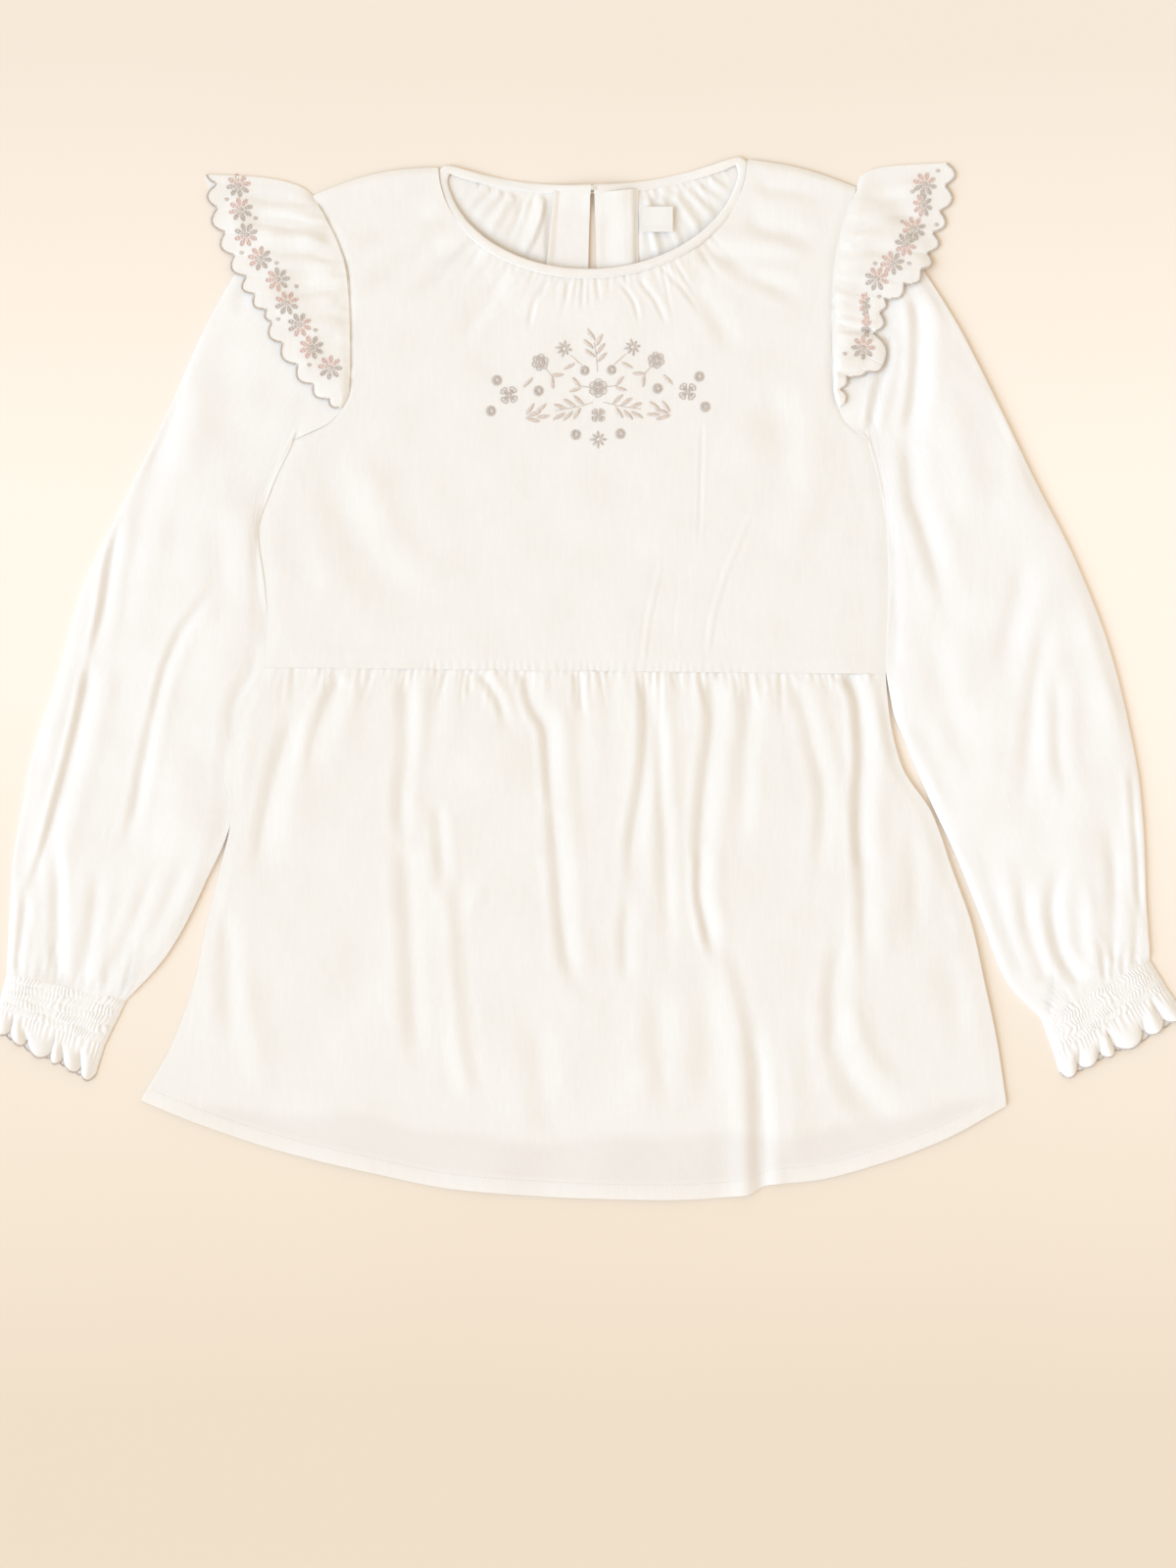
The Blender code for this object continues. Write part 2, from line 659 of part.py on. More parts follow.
def flat_tube(start, end, span, rows, puffs, lip=None):
    """Rings of a flattened tube between two pairs of ends.

    puffs are the heights of the upper layer at the start and the end, and lip(at) is
    how far past the end line each point of the last ring reaches.
    """
    at = np.linspace(0.0, 1.0, span + 1)
    (o0, i0), (o1, i1) = np.array(start), np.array(end)
    first = o0 + (i0 - o0) * at[:, None]
    last = o1 + (i1 - o1) * at[:, None]
    if lip is not None:
        way = last - first
        last = last + lip(at)[:, None] * way / np.linalg.norm(way, axis=1)[:, None]
    rings = []
    for share in np.linspace(0.0, 1.0, rows + 1):
        puff = puffs[0] + (puffs[1] - puffs[0]) * share
        rings.append(ring(first + (last - first) * share, REST, puff * arch(at)))
    return np.array(rings)


def build_sleeve(side):
    sheet(f"sleeve_{side}", sleeve_grid(side), IVORY, closed=True)


def build_cuff(side):
    ends = cuff_ends(side)
    rings = flat_tube(ends, CUFF_LOW[side], SLEEVE_SPAN, 2, (CUFF_PUFF, CUFF_PUFF))
    sheet(f"cuff_{side}", rings, IVORY, closed=True)


def frill_lip(at):
    return FRILL_SCALLOP_DEPTH * np.abs(np.sin(math.pi * FRILL_SCALLOPS * at))


def build_frill(side):
    low = np.array(CUFF_LOW[side])
    end = np.array(FRILL_LOW[side])
    down = (end - low).mean(axis=0)
    start = low + GAP * 1.3 * down / np.linalg.norm(down)
    rings = flat_tube(start, end, 15, 2, (CUFF_PUFF, FRILL_PUFF), lip=frill_lip)
    sheet(f"cuff_frill_{side}", rings, EDGED, closed=True)


# --- Shoulder ruffles ---


def refined(points, times):
    """The same surface with more points, read straight between its rows and columns."""
    for axis in (0, 1):
        count = points.shape[axis]
        at = np.linspace(0, count - 1, (count - 1) * times + 1)
        low = np.minimum(at.astype(int), count - 2)
        share = np.expand_dims(at - low, [i for i in range(3) if i != axis])
        before, after = np.take(points, low, axis), np.take(points, low + 1, axis)
        points = before * (1 - share) + after * share
    return points


def resting_on(points, x, y):
    """The highest of the points near a place, easing down away from them."""
    distance = np.hypot(points[..., 0] - x, points[..., 1] - y)
    return float((points[..., 2] - 0.3 * np.maximum(distance - 11.0, 0.0)).max())


def ruffle_row(side, along, front, sleeve):
    """Points from the armhole out to the scalloped line, at a share of one half."""
    seam = armhole_point(side, RUFFLE_END * along)
    seam += OUTWARD[side] * 2 * GAP, GAP
    rows = RUFFLES[side]
    edge = np.array([float(read(rows, "along", name, along)) for name in ("edge_x", "edge_y")])
    taper = min(1.0, 4.0 * (1 - along))
    scallop = SCALLOP_DEPTH * taper * abs(math.sin(math.pi * RUFFLE_SCALLOPS * along))
    edge = edge + front * scallop * (edge - seam) / np.linalg.norm(edge - seam)
    flute = 0.5 - 0.5 * math.cos(2 * math.pi * RUFFLE_FLUTES * along)
    rise = float(read(rows, "along", "rise", along)) * flute
    points = []
    for share in (0.0, 0.25, 0.5, 0.75, 1.0):
        x, y = seam + (edge - seam) * share
        over = max(REST + LAYER, resting_on(sleeve, x, y) + LAYER)
        points.append((x, y, over + rise * share if front else REST))
    return np.array(points)


def ruffle_fold(side, sleeve):
    """The row where the ruffle turns over the shoulder, half way up."""
    row = ruffle_row(side, 0.0, True, sleeve)
    row[:, 2] = (row[:, 2] + REST) / 2
    row[0, :2] += OUTWARD[side] * 1.6, 5.0
    row[1, 1] += 3.0
    return row


def build_ruffle(side):
    upper = sleeve_grid(side)[:, SLEEVE_SPAN + 1 :]
    sleeve = refined(upper, 4)
    front_steps = np.arange(1, 2 * RUFFLE_SCALLOPS + 1) / (2 * RUFFLE_SCALLOPS)
    back_steps = [step / RUFFLE_END for step in ARMHOLE_STEPS if step <= RUFFLE_END][::-1]
    rows = [ruffle_row(side, along, False, sleeve) for along in back_steps]
    rows.append(ruffle_fold(side, sleeve))
    rows += [ruffle_row(side, along, True, sleeve) for along in front_steps]
    sheet(f"shoulder_ruffle_{side}", np.array(rows), EDGED)


# --- Neck binding, facing, label and closure ---


def binding_rows():
    """Pairs of outer and inner edge points, from one side of the slit to the other."""
    rows = []
    back_x = np.linspace(SLIT_TOP / 2, NECK_HALF - 10.0, 9)
    front_turns = np.linspace(0.0, math.pi, NECK_STEPS + 1)[1:-1]
    for side in (LEFT, RIGHT):
        half = []
        for x in back_x:
            place = SLIT_X + OUTWARD[side] * x
            pair = [back_neck(place, 0.0), back_neck(place, BINDING_WIDTH)]
            lift = BUTTON_LIFT * bell(x, LIFT_ACROSS) + 0.3 * ease(x, 60.0, 88.0)
            half.append([(*point, BINDING_THICK / 2 + lift) for point in pair])
        corner = neck_corner(side) - np.array([OUTWARD[side] * 2 * GAP, 0.0])
        inner_x = NECK_X + OUTWARD[side] * BACK_REACH
        inner = back_neck(inner_x, BINDING_WIDTH)
        half.append([(*corner, 2.1), (*inner, 2.1)])
        rows.append(half)
    front = []
    for turn in front_turns[::-1]:
        height = neck_height(turn / math.pi) + 0.4
        front.append([(*front_neck(turn, out), height) for out in (BINDING_WIDTH, 0.0)])
    return np.array(rows[0] + front + rows[1][::-1])


def build_binding():
    sheet("neck_binding", binding_rows(), IVORY, wall=BINDING_THICK)


def build_facing():
    """A strip round the slit, on the inner face of the back."""
    columns = np.array([-1.0, -0.5, -0.02, 0.02, 0.5, 1.0])
    shares = np.linspace(0.0, 1.0, 9)
    plan = np.zeros((len(shares), len(columns), 2))
    for i, share in enumerate(shares):
        for j, column in enumerate(columns):
            x = SLIT_X + column * FACING_HALF
            top = back_neck(x, BINDING_WIDTH + 2 * GAP)[1]
            plan[i, j] = x, top - share * FACING_LENGTH
    half = slit_half(plan[:, 2, 1])
    plan[:, 2, 0], plan[:, 3, 0] = SLIT_X - half, SLIT_X + half
    slit_rows = int((BACK_NECK_Y - plan[:, 2, 1] < SLIT_LENGTH).sum()) - 1
    heights = back_height(plan[..., 0], plan[..., 1]) + LAYER + FACING_EASE
    sheet(
        "keyhole_facing",
        with_heights(plan, heights),
        IVORY,
        missing=lambda row, column: column == 2 and row < slit_rows,
    )


def build_label():
    x, y = np.meshgrid(
        LABEL_X + np.array([-0.5, 0.5]) * LABEL_WIDTH,
        LABEL_Y + np.array([0.5, -0.5]) * LABEL_HEIGHT,
    )
    heights = back_height(x, y) + LAYER + FACING_EASE
    sheet("neck_label", np.stack([x, y, heights], axis=-1), LABEL_WHITE)


def build_button():
    """A flat shank button under the back neck, its shank up to the binding."""
    top = BUTTON_LIFT - 2 * GAP
    profile = (
        (0.0, top),
        (SHANK_RADIUS, top),
        (SHANK_RADIUS, BUTTON_THICK),
        (BUTTON_RADIUS, BUTTON_THICK),
        (BUTTON_RADIUS, 0.0),
        (0.0, 0.0),
    )
    outline = bmesh.new()
    verts = [outline.verts.new((r * MM, 0.0, z * MM)) for r, z in profile]
    for a, b in zip(verts, verts[1:]):
        outline.edges.new((a, b))
    mesh = bpy.data.meshes.new("back_button")
    outline.to_mesh(mesh)
    outline.free()
    piece = add_object("back_button", mesh, SHELL)
    x = SLIT_X + BUTTON_X
    piece.location = (x * MM, (back_neck(x, BINDING_WIDTH / 2)[1]) * MM, 0.0)
    turn = piece.modifiers.new("turned", "SCREW")
    turn.steps = turn.render_steps = 20
    turn.use_merge_vertices = True
    turn.merge_threshold = 1e-5


def build_loop():
    """A thread loop from the other end of the binding round the button's shank."""
    centre_x = SLIT_X + BUTTON_X
    centre_y = back_neck(centre_x, BINDING_WIDTH / 2)[1]
    start_x = SLIT_X - SLIT_TOP / 2 - 2.0
    height = BUTTON_THICK + (LOOP_CORD + GAP) / 2
    arc = [
        (centre_x + LOOP_RADIUS * math.sin(a), centre_y + LOOP_RADIUS * math.cos(a))
        for a in np.linspace(0.0, math.pi, 8)
    ]
    route = [(start_x, centre_y + LOOP_RADIUS), *arc, (start_x, centre_y - LOOP_RADIUS)]
    curve = bpy.data.curves.new("button_loop", "CURVE")
    curve.dimensions = "3D"
    curve.bevel_depth = LOOP_CORD / 2 * MM
    curve.bevel_resolution = 2
    curve.use_fill_caps = True
    spline = curve.splines.new("POLY")
    spline.points.add(len(route) - 1)
    for point, (x, y) in zip(spline.points, route):
        point.co = (x * MM, y * MM, height * MM, 1.0)
    add_object("button_loop", curve, THREAD)


def main():
    for obj in list(bpy.data.objects):
        bpy.data.objects.remove(obj)
    blouse = bpy.data.collections.new("nursing_blouse")
    bpy.context.scene.collection.children.link(blouse)
    build_back_bodice()
    build_front_bodice()
    build_back_skirt()
    build_front_skirt()
    for side in (RIGHT, LEFT):
        build_sleeve(side)
        build_cuff(side)
        build_frill(side)
        build_ruffle(side)
    build_binding()
    build_facing()
    build_label()
    build_button()
    build_loop()


main()
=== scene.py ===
"""The looks of a nursing blouse that lies flat and face up.

Each class below is one sub-assembly of the blouse. It holds its sizes as fields, works
out the points of its cloth from short tables, and dresses what it makes. Sizes are in
millimetres until a mesh is written: X runs across the blouse towards the wearer's left,
Y towards the neck, and Z up from the surface that it lies on.
"""

from __future__ import annotations

import logging
import math
from collections.abc import Callable, Sequence
from dataclasses import dataclass, replace
from enum import Enum
from typing import NamedTuple, TypeVar

import bmesh
import bpy
import numpy as np
from bpy.types import Material, Mesh, Node, NodeSocket, Object
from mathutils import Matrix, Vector
from mathutils.bvhtree import BVHTree

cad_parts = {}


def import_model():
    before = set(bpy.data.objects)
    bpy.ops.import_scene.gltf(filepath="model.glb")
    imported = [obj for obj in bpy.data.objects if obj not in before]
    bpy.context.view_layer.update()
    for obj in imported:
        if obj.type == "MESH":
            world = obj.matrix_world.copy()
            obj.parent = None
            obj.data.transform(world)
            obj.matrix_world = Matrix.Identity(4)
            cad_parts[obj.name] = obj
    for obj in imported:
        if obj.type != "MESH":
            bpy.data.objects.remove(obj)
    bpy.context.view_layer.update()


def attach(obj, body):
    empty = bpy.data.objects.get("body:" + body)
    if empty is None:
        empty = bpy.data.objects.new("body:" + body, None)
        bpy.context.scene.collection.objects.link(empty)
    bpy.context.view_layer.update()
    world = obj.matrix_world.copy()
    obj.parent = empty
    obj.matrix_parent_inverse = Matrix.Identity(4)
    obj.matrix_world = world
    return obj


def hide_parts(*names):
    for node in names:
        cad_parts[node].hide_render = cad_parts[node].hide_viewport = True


LOG = logging.getLogger("blouse")
Array = np.ndarray
Colour = tuple[float, float, float]
Row = TypeVar("Row")

MM = 0.001
BODY = "root"
WALL = 0.5  # cloth, as it shows
REST = 0.27  # middle of a sheet that lies on the surface
LAYER = 0.6  # from the middle of one sheet to the middle of the next
FRONT = REST + LAYER  # lowest middle of the front panels

# Neck: the front neckline is half an ellipse, the back one a shallow curve.
NECK_X, NECK_Y = 1.3, 346.0
NECK_HALF, NECK_DEPTH, NECK_TILT = 98.5, 71.5, 0.025
BACK_NECK_Y, BACK_NECK_RISE, BACK_NECK_REACH = 331.5, 16.0, 95.0
BACK_REACH = NECK_HALF - 2.5
BINDING_WIDTH = 6.5
UNDER_BINDING = BINDING_WIDTH - 1.2  # where the panels and the facing end below it
NECK_CORNER = 105.8
CORNER_REACH = np.array([8.6, 6.7])
SLIT_X, SLIT_TOP, SLIT_MIDDLE, SLIT_LENGTH = 0.9, 2.2, 5.2, 108.0

# Empire seam, which falls a little towards the wearer's left.
SEAM_Y, SEAM_TILT = 4.5, -0.011
SEAM_GAP = 0.03  # from the seam to the cloth on either side of it
HEM_BAND = 10.0  # how wide the hem is turned

BODICE_RISE, NECK_RISE, SKIRT_RISE = 3.0, 4.2, 3.8
RELIEF = 0.72  # of the folds' written heights
SIDE_RISE = 0.68  # of a front panel's rise, along its side edges
SHARP_TURN = 1.0  # in radians: faces that meet at more than this are shaded apart
BUTTON_LIFT, LIFT_ACROSS, LIFT_DOWN = 3.8, 24.0, 16.0
ARCH_LIFT, ARCH_ACROSS = 0.9, 26.0
FACING_HALF = 31.0
SIDE_HOLD = 6  # how quickly a panel forgets the bends of its side edges
SHOULDER_SHARE = 0.24  # of a panel's top edge
NECK_SHARE = 1 - 2 * SHOULDER_SHARE
BACK_SPAN = 1 - 2 * (0.02 / NECK_SHARE)  # of the neck's share, free of the corners
SATIN = 0.55  # from one satin stitch to the next
RUFFLE_END = 0.87  # share of the armhole that the ruffle takes
MIX_FIRST, MIX_SECOND, MIX_RESULT = 6, 7, 2  # a mix node's sockets for colours


class Side(Enum):
    """A side of the wearer. The right one is at -X."""

    RIGHT = -1.0
    LEFT = 1.0

    @property
    def word(self) -> str:
        """The side's name, as it ends a piece's name."""
        return self.name.lower()


class Hold(Enum):
    """How a sheet of cloth is held."""

    LAID = "laid"
    GATHERED = "gathered"
    STRETCHED = "stretched"


class Motif(Enum):
    """The kinds of figure that the embroidery repeats."""

    LEAF = "leaf"
    DOT = "dot"
    STAR = "star"
    CLOVER = "clover"
    ROSETTE = "rosette"


# --- Reading tables and shaping curves ---


def table(kind: type[Row], *rows: tuple) -> tuple[Row, ...]:
    """A short table whose columns are named by its rows' kind."""
    return tuple(kind(*row) for row in rows)


def smooth(knots: Sequence[float], values: Sequence[float], at: Array | float) -> Array:
    """Read a curve through the knots that never overshoots them.

    Args:
        knots: Rising places of the known values.
        values: The known values.
        at: Where to read the curve.

    Returns:
        The curve's values there.
    """
    knots, values = np.asarray(knots, float), np.asarray(values, float)
    steps = np.diff(knots)
    rates = np.diff(values) / steps
    before, after = rates[:-1], rates[1:]
    total = np.where(before * after > 0, before + after, 1.0)
    inner = np.where(before * after > 0, 2 * before * after / total, 0.0)
    slopes = np.concatenate([rates[:1], inner, rates[-1:]])
    at = np.clip(at, knots[0], knots[-1])
    i = np.clip(np.searchsorted(knots, at, side="right") - 1, 0, len(steps) - 1)
    t = (at - knots[i]) / steps[i]
    return (
        values[i] * (1 + 2 * t) * (1 - t) ** 2
        + slopes[i] * steps[i] * t * (1 - t) ** 2
        + values[i + 1] * t**2 * (3 - 2 * t)
        + slopes[i + 1] * steps[i] * t**2 * (t - 1)
    )


def read(rows: Sequence[NamedTuple], key: str, value: str, at: Array | float) -> Array:
    """Read one column of a table as a smooth curve of another."""
    return smooth([getattr(r, key) for r in rows], [getattr(r, value) for r in rows], at)


def ease(x: Array | float, low: float, high: float) -> Array:
    """Rise smoothly from 0 at low to 1 at high."""
    t = np.clip((np.asarray(x, float) - low) / (high - low), 0.0, 1.0)
    return t * t * (3 - 2 * t)


def bell(x: Array | float, width: float | Array) -> Array:
    """A soft bump of height 1 that is about twice its width across."""
    return np.exp(-((np.asarray(x, float) / width) ** 2))


def never_below(height: Array, least: float, round_off: float = 0.35) -> Array:
    """Keep heights above a level, turning softly where they would go below it."""
    over = height - least
    return least + 0.5 * (over + np.sqrt(over**2 + round_off**2))


def even(count: int) -> Array:
    """Evenly spaced shares from 0 to 1."""
    return np.linspace(0.0, 1.0, count)


def crowded(count: int, power: float) -> Array:
    """Shares from 0 to 1 that crowd towards 0."""
    return even(count) ** power


def run_of(line: Array) -> Array:
    """How far along a line each of its points lies."""
    return np.append(0.0, np.cumsum(np.linalg.norm(np.diff(line, axis=0), axis=1)))


def on_line(line: Array, run: Array, at: Array | float) -> Array:
    """Points on a line at distances along it, where run is that of its own points."""
    return np.stack([np.interp(at, run, column) for column in line.T], axis=-1)


def unit(ways: Array) -> Array:
    """The same directions, each of length 1."""
    return ways / np.linalg.norm(ways, axis=-1, keepdims=True)


def side_profile(beside: Array, width: float) -> Array:
    """Share of its rise that a panel of a width has reached, at shares of it from its side."""
    return SIDE_RISE + 0.2 * ease(beside * width, 0.0, 9.0) + 0.12 * ease(beside, 0.0, 0.14)


def rimmed(points: Array, base: float) -> Array:
    """Add a column at each side that drops straight down to the panel below."""
    rims = points[:, [0, -1]] * (1.0, 1.0, 0.0) + (0.0, 0.0, base)
    return np.concatenate([rims[:, :1], points, rims[:, 1:]], axis=1)


class Fold(NamedTuple):
    """A soft ridge, or a trough where its height is negative, along a line on a panel.

    line holds x and y of each of its knots in turn. near is its half width to the left of
    its way, and far the one to the right. It fades in and out over those shares of its
    length. lip is how much the cloth beside it bends the other way.
    """

    line: Sequence[float]
    height: float
    near: float
    far: float
    fade_in: float = 0.25
    fade_out: float = 0.4
    lip: float = 0.3

    def path(self) -> Array:
        """Work out the fold's curve.

        Returns:
            Plan points along it.
        """
        knots = np.array(self.line, float).reshape(-1, 2)
        run = run_of(knots)
        at = np.linspace(0.0, run[-1], 6 * (len(knots) - 1) + 1)
        return np.stack([smooth(run, column, at) for column in knots.T], axis=-1)


def relief(folds: Sequence[Fold], x: Array, y: Array) -> Array:
    """How far the folds lift or press the cloth at each place on a panel.

    Args:
        folds: The folds on the panel.
        x: Plan places across.
        y: Plan places up.

    Returns:
        Heights to add, in the shape of x.
    """
    total = np.zeros(x.shape)
    for fold in folds:
        path = fold.path()
        reach = 3.4 * max(fold.near, fold.far)
        low, high = path.min(axis=0) - reach, path.max(axis=0) + reach
        inside = (x > low[0]) & (x < high[0]) & (y > low[1]) & (y < high[1])
        if not inside.any():
            continue
        place = np.stack([x[inside], y[inside]], axis=-1)[:, None]
        start, way = path[:-1], np.diff(path, axis=0)
        share = np.clip(((place - start) * way).sum(-1) / (way**2).sum(-1), 0.0, 1.0)
        off = place - start - share[..., None] * way
        distance = np.hypot(off[..., 0], off[..., 1])
        nearest = distance.argmin(axis=1)[:, None]
        distance = np.take_along_axis(distance, nearest, 1)[:, 0]
        cross = way[:, 0] * off[..., 1] - way[:, 1] * off[..., 0]
        left = np.take_along_axis(cross, nearest, 1)[:, 0] > 0
        along = (nearest + np.take_along_axis(share, nearest, 1))[:, 0] / len(way)
        width = np.where(left, fold.near, fold.far)
        fade = ease(along, 0.0, max(fold.fade_in, 1e-6))
        fade = fade * (1 - ease(along, 1 - fold.fade_out, 1.0 + 1e-6))
        shape = bell(distance, width) - fold.lip * bell(distance - 2.1 * width, 0.9 * width)
        total[inside] += fold.height * shape * fade
    return RELIEF * total


@dataclass(frozen=True)
class Ripple:
    """The gentle unevenness of cloth that has been worn and smoothed by hand."""

    height: float
    length: float
    seed: int
    waves: int = 16

    def at(self, x: Array, y: Array) -> Array:
        """Read the ripple.

        Args:
            x: Plan places across.
            y: Plan places up.

        Returns:
            Heights to add, about the ripple's height either way.
        """
        chance = np.random.default_rng(self.seed)
        total = np.zeros(x.shape)
        for _ in range(self.waves):
            turn = chance.uniform(0.0, math.pi)
            rate = 2 * math.pi / (self.length * chance.uniform(0.7, 1.7))
            phase = chance.uniform(0.0, 2 * math.pi)
            total += np.sin(rate * (x * math.cos(turn) + y * math.sin(turn)) + phase)
        return total * self.height / math.sqrt(self.waves / 2)


# --- Lines that pieces share ---


class Armhole(NamedTuple):
    """One armhole: its shoulder end, its underarm end, and how far it bows inwards."""

    top_x: float
    top_y: float
    low_x: float
    low_y: float
    bow: float


class BowRow(NamedTuple):
    """How much of the bow the armhole has reached, at a share of its length."""

    along: float
    share: float


class EdgeRow(NamedTuple):
    """The body's side edges at one height."""

    y: float
    right_x: float
    left_x: float


class HemRow(NamedTuple):
    """The front and back hems at one place across the skirt."""

    x: float
    front_y: float
    back_y: float


ARMHOLES = {
    Side.RIGHT: Armhole(top_x=-187.0, top_y=324.5, low_x=-200.0, low_y=160.0, bow=35.0),
    Side.LEFT: Armhole(top_x=178.5, top_y=330.0, low_x=187.0, low_y=160.0, bow=-22.0),
}
SHOULDER_BOW = {Side.RIGHT: 5.0, Side.LEFT: 3.0}
ARMHOLE_BOW = table(
    BowRow,
    (0, 0), (0.1, 0.3), (0.2, 0.56), (0.32, 0.77), (0.5, 0.9), (0.8, 1), (0.92, 0.7), (1, 0),
)
BODY_EDGES = table(
    EdgeRow,
    (160, -200, 187), (127, -215.5, 195.5), (97, -224.5, 200), (61, -220, 201), (34, -218, 200),
    (5, -221, 198), (-12, -232, 199), (-32, -239, 201.5), (-60, -240.5, 209), (-91, -241.5, 229),
    (-130, -249.5, 243), (-165, -258, 255.5), (-203, -266, 264), (-245, -281, 273), (-284, -303, 279),
)
HEM = table(
    HemRow,
    (-303, -284, -282), (-266, -299, -286), (-213, -317, -291), (-147, -333, -299), (-91, -344, -305),
    (-2, -350, -310), (51, -351, -310), (103, -348, -307), (120, -341, -306), (150, -338, -303),
    (196, -326, -297), (236, -311, -291), (279, -288, -285),
)


def seam_y(x: Array | float) -> Array | float:
    """Height of the empire seam at a place across."""
    return SEAM_Y + SEAM_TILT * x


def body_edge(side: Side, y: Array | float) -> Array:
    """X of the body's side edge below the armhole."""
    return read(BODY_EDGES[::-1], "y", f"{side.word}_x", y)


def armhole(side: Side, along: Array | float) -> Array:
    """Read the line of an armhole.

    Args:
        side: Whose armhole it is.
        along: Shares of its length, from the shoulder at 0 to the underarm at 1.

    Returns:
        Plan points on it.
    """
    a = ARMHOLES[side]
    along = np.asarray(along, float)
    bow = a.bow * read(ARMHOLE_BOW, "along", "share", along)
    x = a.top_x + (a.low_x - a.top_x) * along + bow
    return np.stack([x, a.top_y + (a.low_y - a.top_y) * along], axis=-1)


def front_neck(turn: Array, out: float) -> Array:
    """Points on the front neckline, from the wearer's right at 0 to the left at pi."""
    x = NECK_X - (NECK_HALF + out) * np.cos(turn)
    return np.stack([x, NECK_Y - (NECK_DEPTH + out) * np.sin(turn) + NECK_TILT * x], axis=-1)


def back_neck(x: Array | float, below: float) -> Array:
    """Points on the back neckline, a distance below the binding's top edge."""
    rise = BACK_NECK_RISE * (x / BACK_NECK_REACH) ** 2
    return np.stack([x, BACK_NECK_Y - below + rise + NECK_TILT * x], axis=-1)


def neck_share(across: Array) -> Array:
    """Shares round the neck, from shoulder end to shoulder end, at shares across a panel."""
    return np.clip((across - SHOULDER_SHARE) / NECK_SHARE, 0.0, 1.0)


def neck_corner(side: Side) -> Array:
    """The point where a shoulder seam meets the binding."""
    x = NECK_X + side.value * NECK_CORNER
    return np.array([x, NECK_Y + NECK_TILT * x])


def neck_height(share: Array) -> Array:
    """Middle of the front neck edge, from one shoulder end at 0 to the other at 1."""
    return FRONT + NECK_RISE * ease(np.minimum(share, 1 - share), 0.0, 0.35)


def back_height(x: Array, y: Array) -> Array:
    """Find the back panel, which the button and the neck lift beside the slit.

    Args:
        x: Plan places across.
        y: Plan places up.

    Returns:
        Heights of its middle.
    """
    near = bell(x - SLIT_X, LIFT_ACROSS) * bell(BACK_NECK_Y - y, LIFT_DOWN)
    arch = bell(x - SLIT_X, ARCH_ACROSS) * ease(y, 256.0, 282.0)
    return REST + np.maximum(BUTTON_LIFT * near, ARCH_LIFT * arch)


def slit_half(y: Array) -> Array:
    """Half the slit's width at a height."""
    half_widths = (SLIT_TOP / 2, SLIT_MIDDLE / 2, 0.02)
    return smooth((0.0, 0.55 * SLIT_LENGTH, SLIT_LENGTH), half_widths, BACK_NECK_Y - y)


def open_slit(x: Array, y: Array, left_of: int, spare: float = 0.0) -> tuple[Array, Array]:
    """Move columns near the slit out of it, keeping their order, and find its cells.

    Args:
        x: Places across, rows by columns.
        y: Places up, likewise.
        left_of: The last column on the slit's left.
        spare: How much farther than the slit's own edge the columns keep.

    Returns:
        The new places across, the same as before beyond the facing, and which cells the
        slit leaves open.
    """
    gap = slit_half(y) + spare
    off = x - SLIT_X
    off[:, : left_of + 1] = np.minimum(off[:, : left_of + 1], -0.001)
    off[:, left_of + 1 :] = np.maximum(off[:, left_of + 1 :], 0.001)
    share = np.minimum(np.abs(off) / FACING_HALF, 1.0)
    missing = np.zeros((x.shape[0] - 1, x.shape[1] - 1), bool)
    missing[:, left_of] = BACK_NECK_Y - y[:-1, left_of] < SLIT_LENGTH
    moved = SLIT_X + np.sign(off) * (gap + (FACING_HALF - gap) * share)
    return np.where(share < 1, moved, x), missing


def patch(top: Array, bottom: Array, sides: Sequence[Array], across: Array, down: Array) -> Array:
    """Fill four edges that meet at their corners with a grid of plan points.

    Args:
        top: Points along the top edge, one for each value of across.
        bottom: Points along the bottom edge, likewise.
        sides: Points down the edges at across 0 and 1, one for each value of down.
        across: Shares across.
        down: Shares down.

    Returns:
        Plan points, rows by columns by 2.
    """
    u, v = across[None, :, None], down[:, None, None]
    near, far = (edge[:, None] - (1 - v) * edge[0] - v * edge[-1] for edge in sides)
    ruled = (1 - v) * top[None] + v * bottom[None]
    return ruled + near * (1 - u) ** SIDE_HOLD + far * u**SIDE_HOLD


def solid_points(plan: Array, heights: Array) -> Array:
    """Plan points and their heights, as points in space."""
    return np.concatenate([plan, np.asarray(heights)[..., None]], axis=-1)


# --- Finishes ---


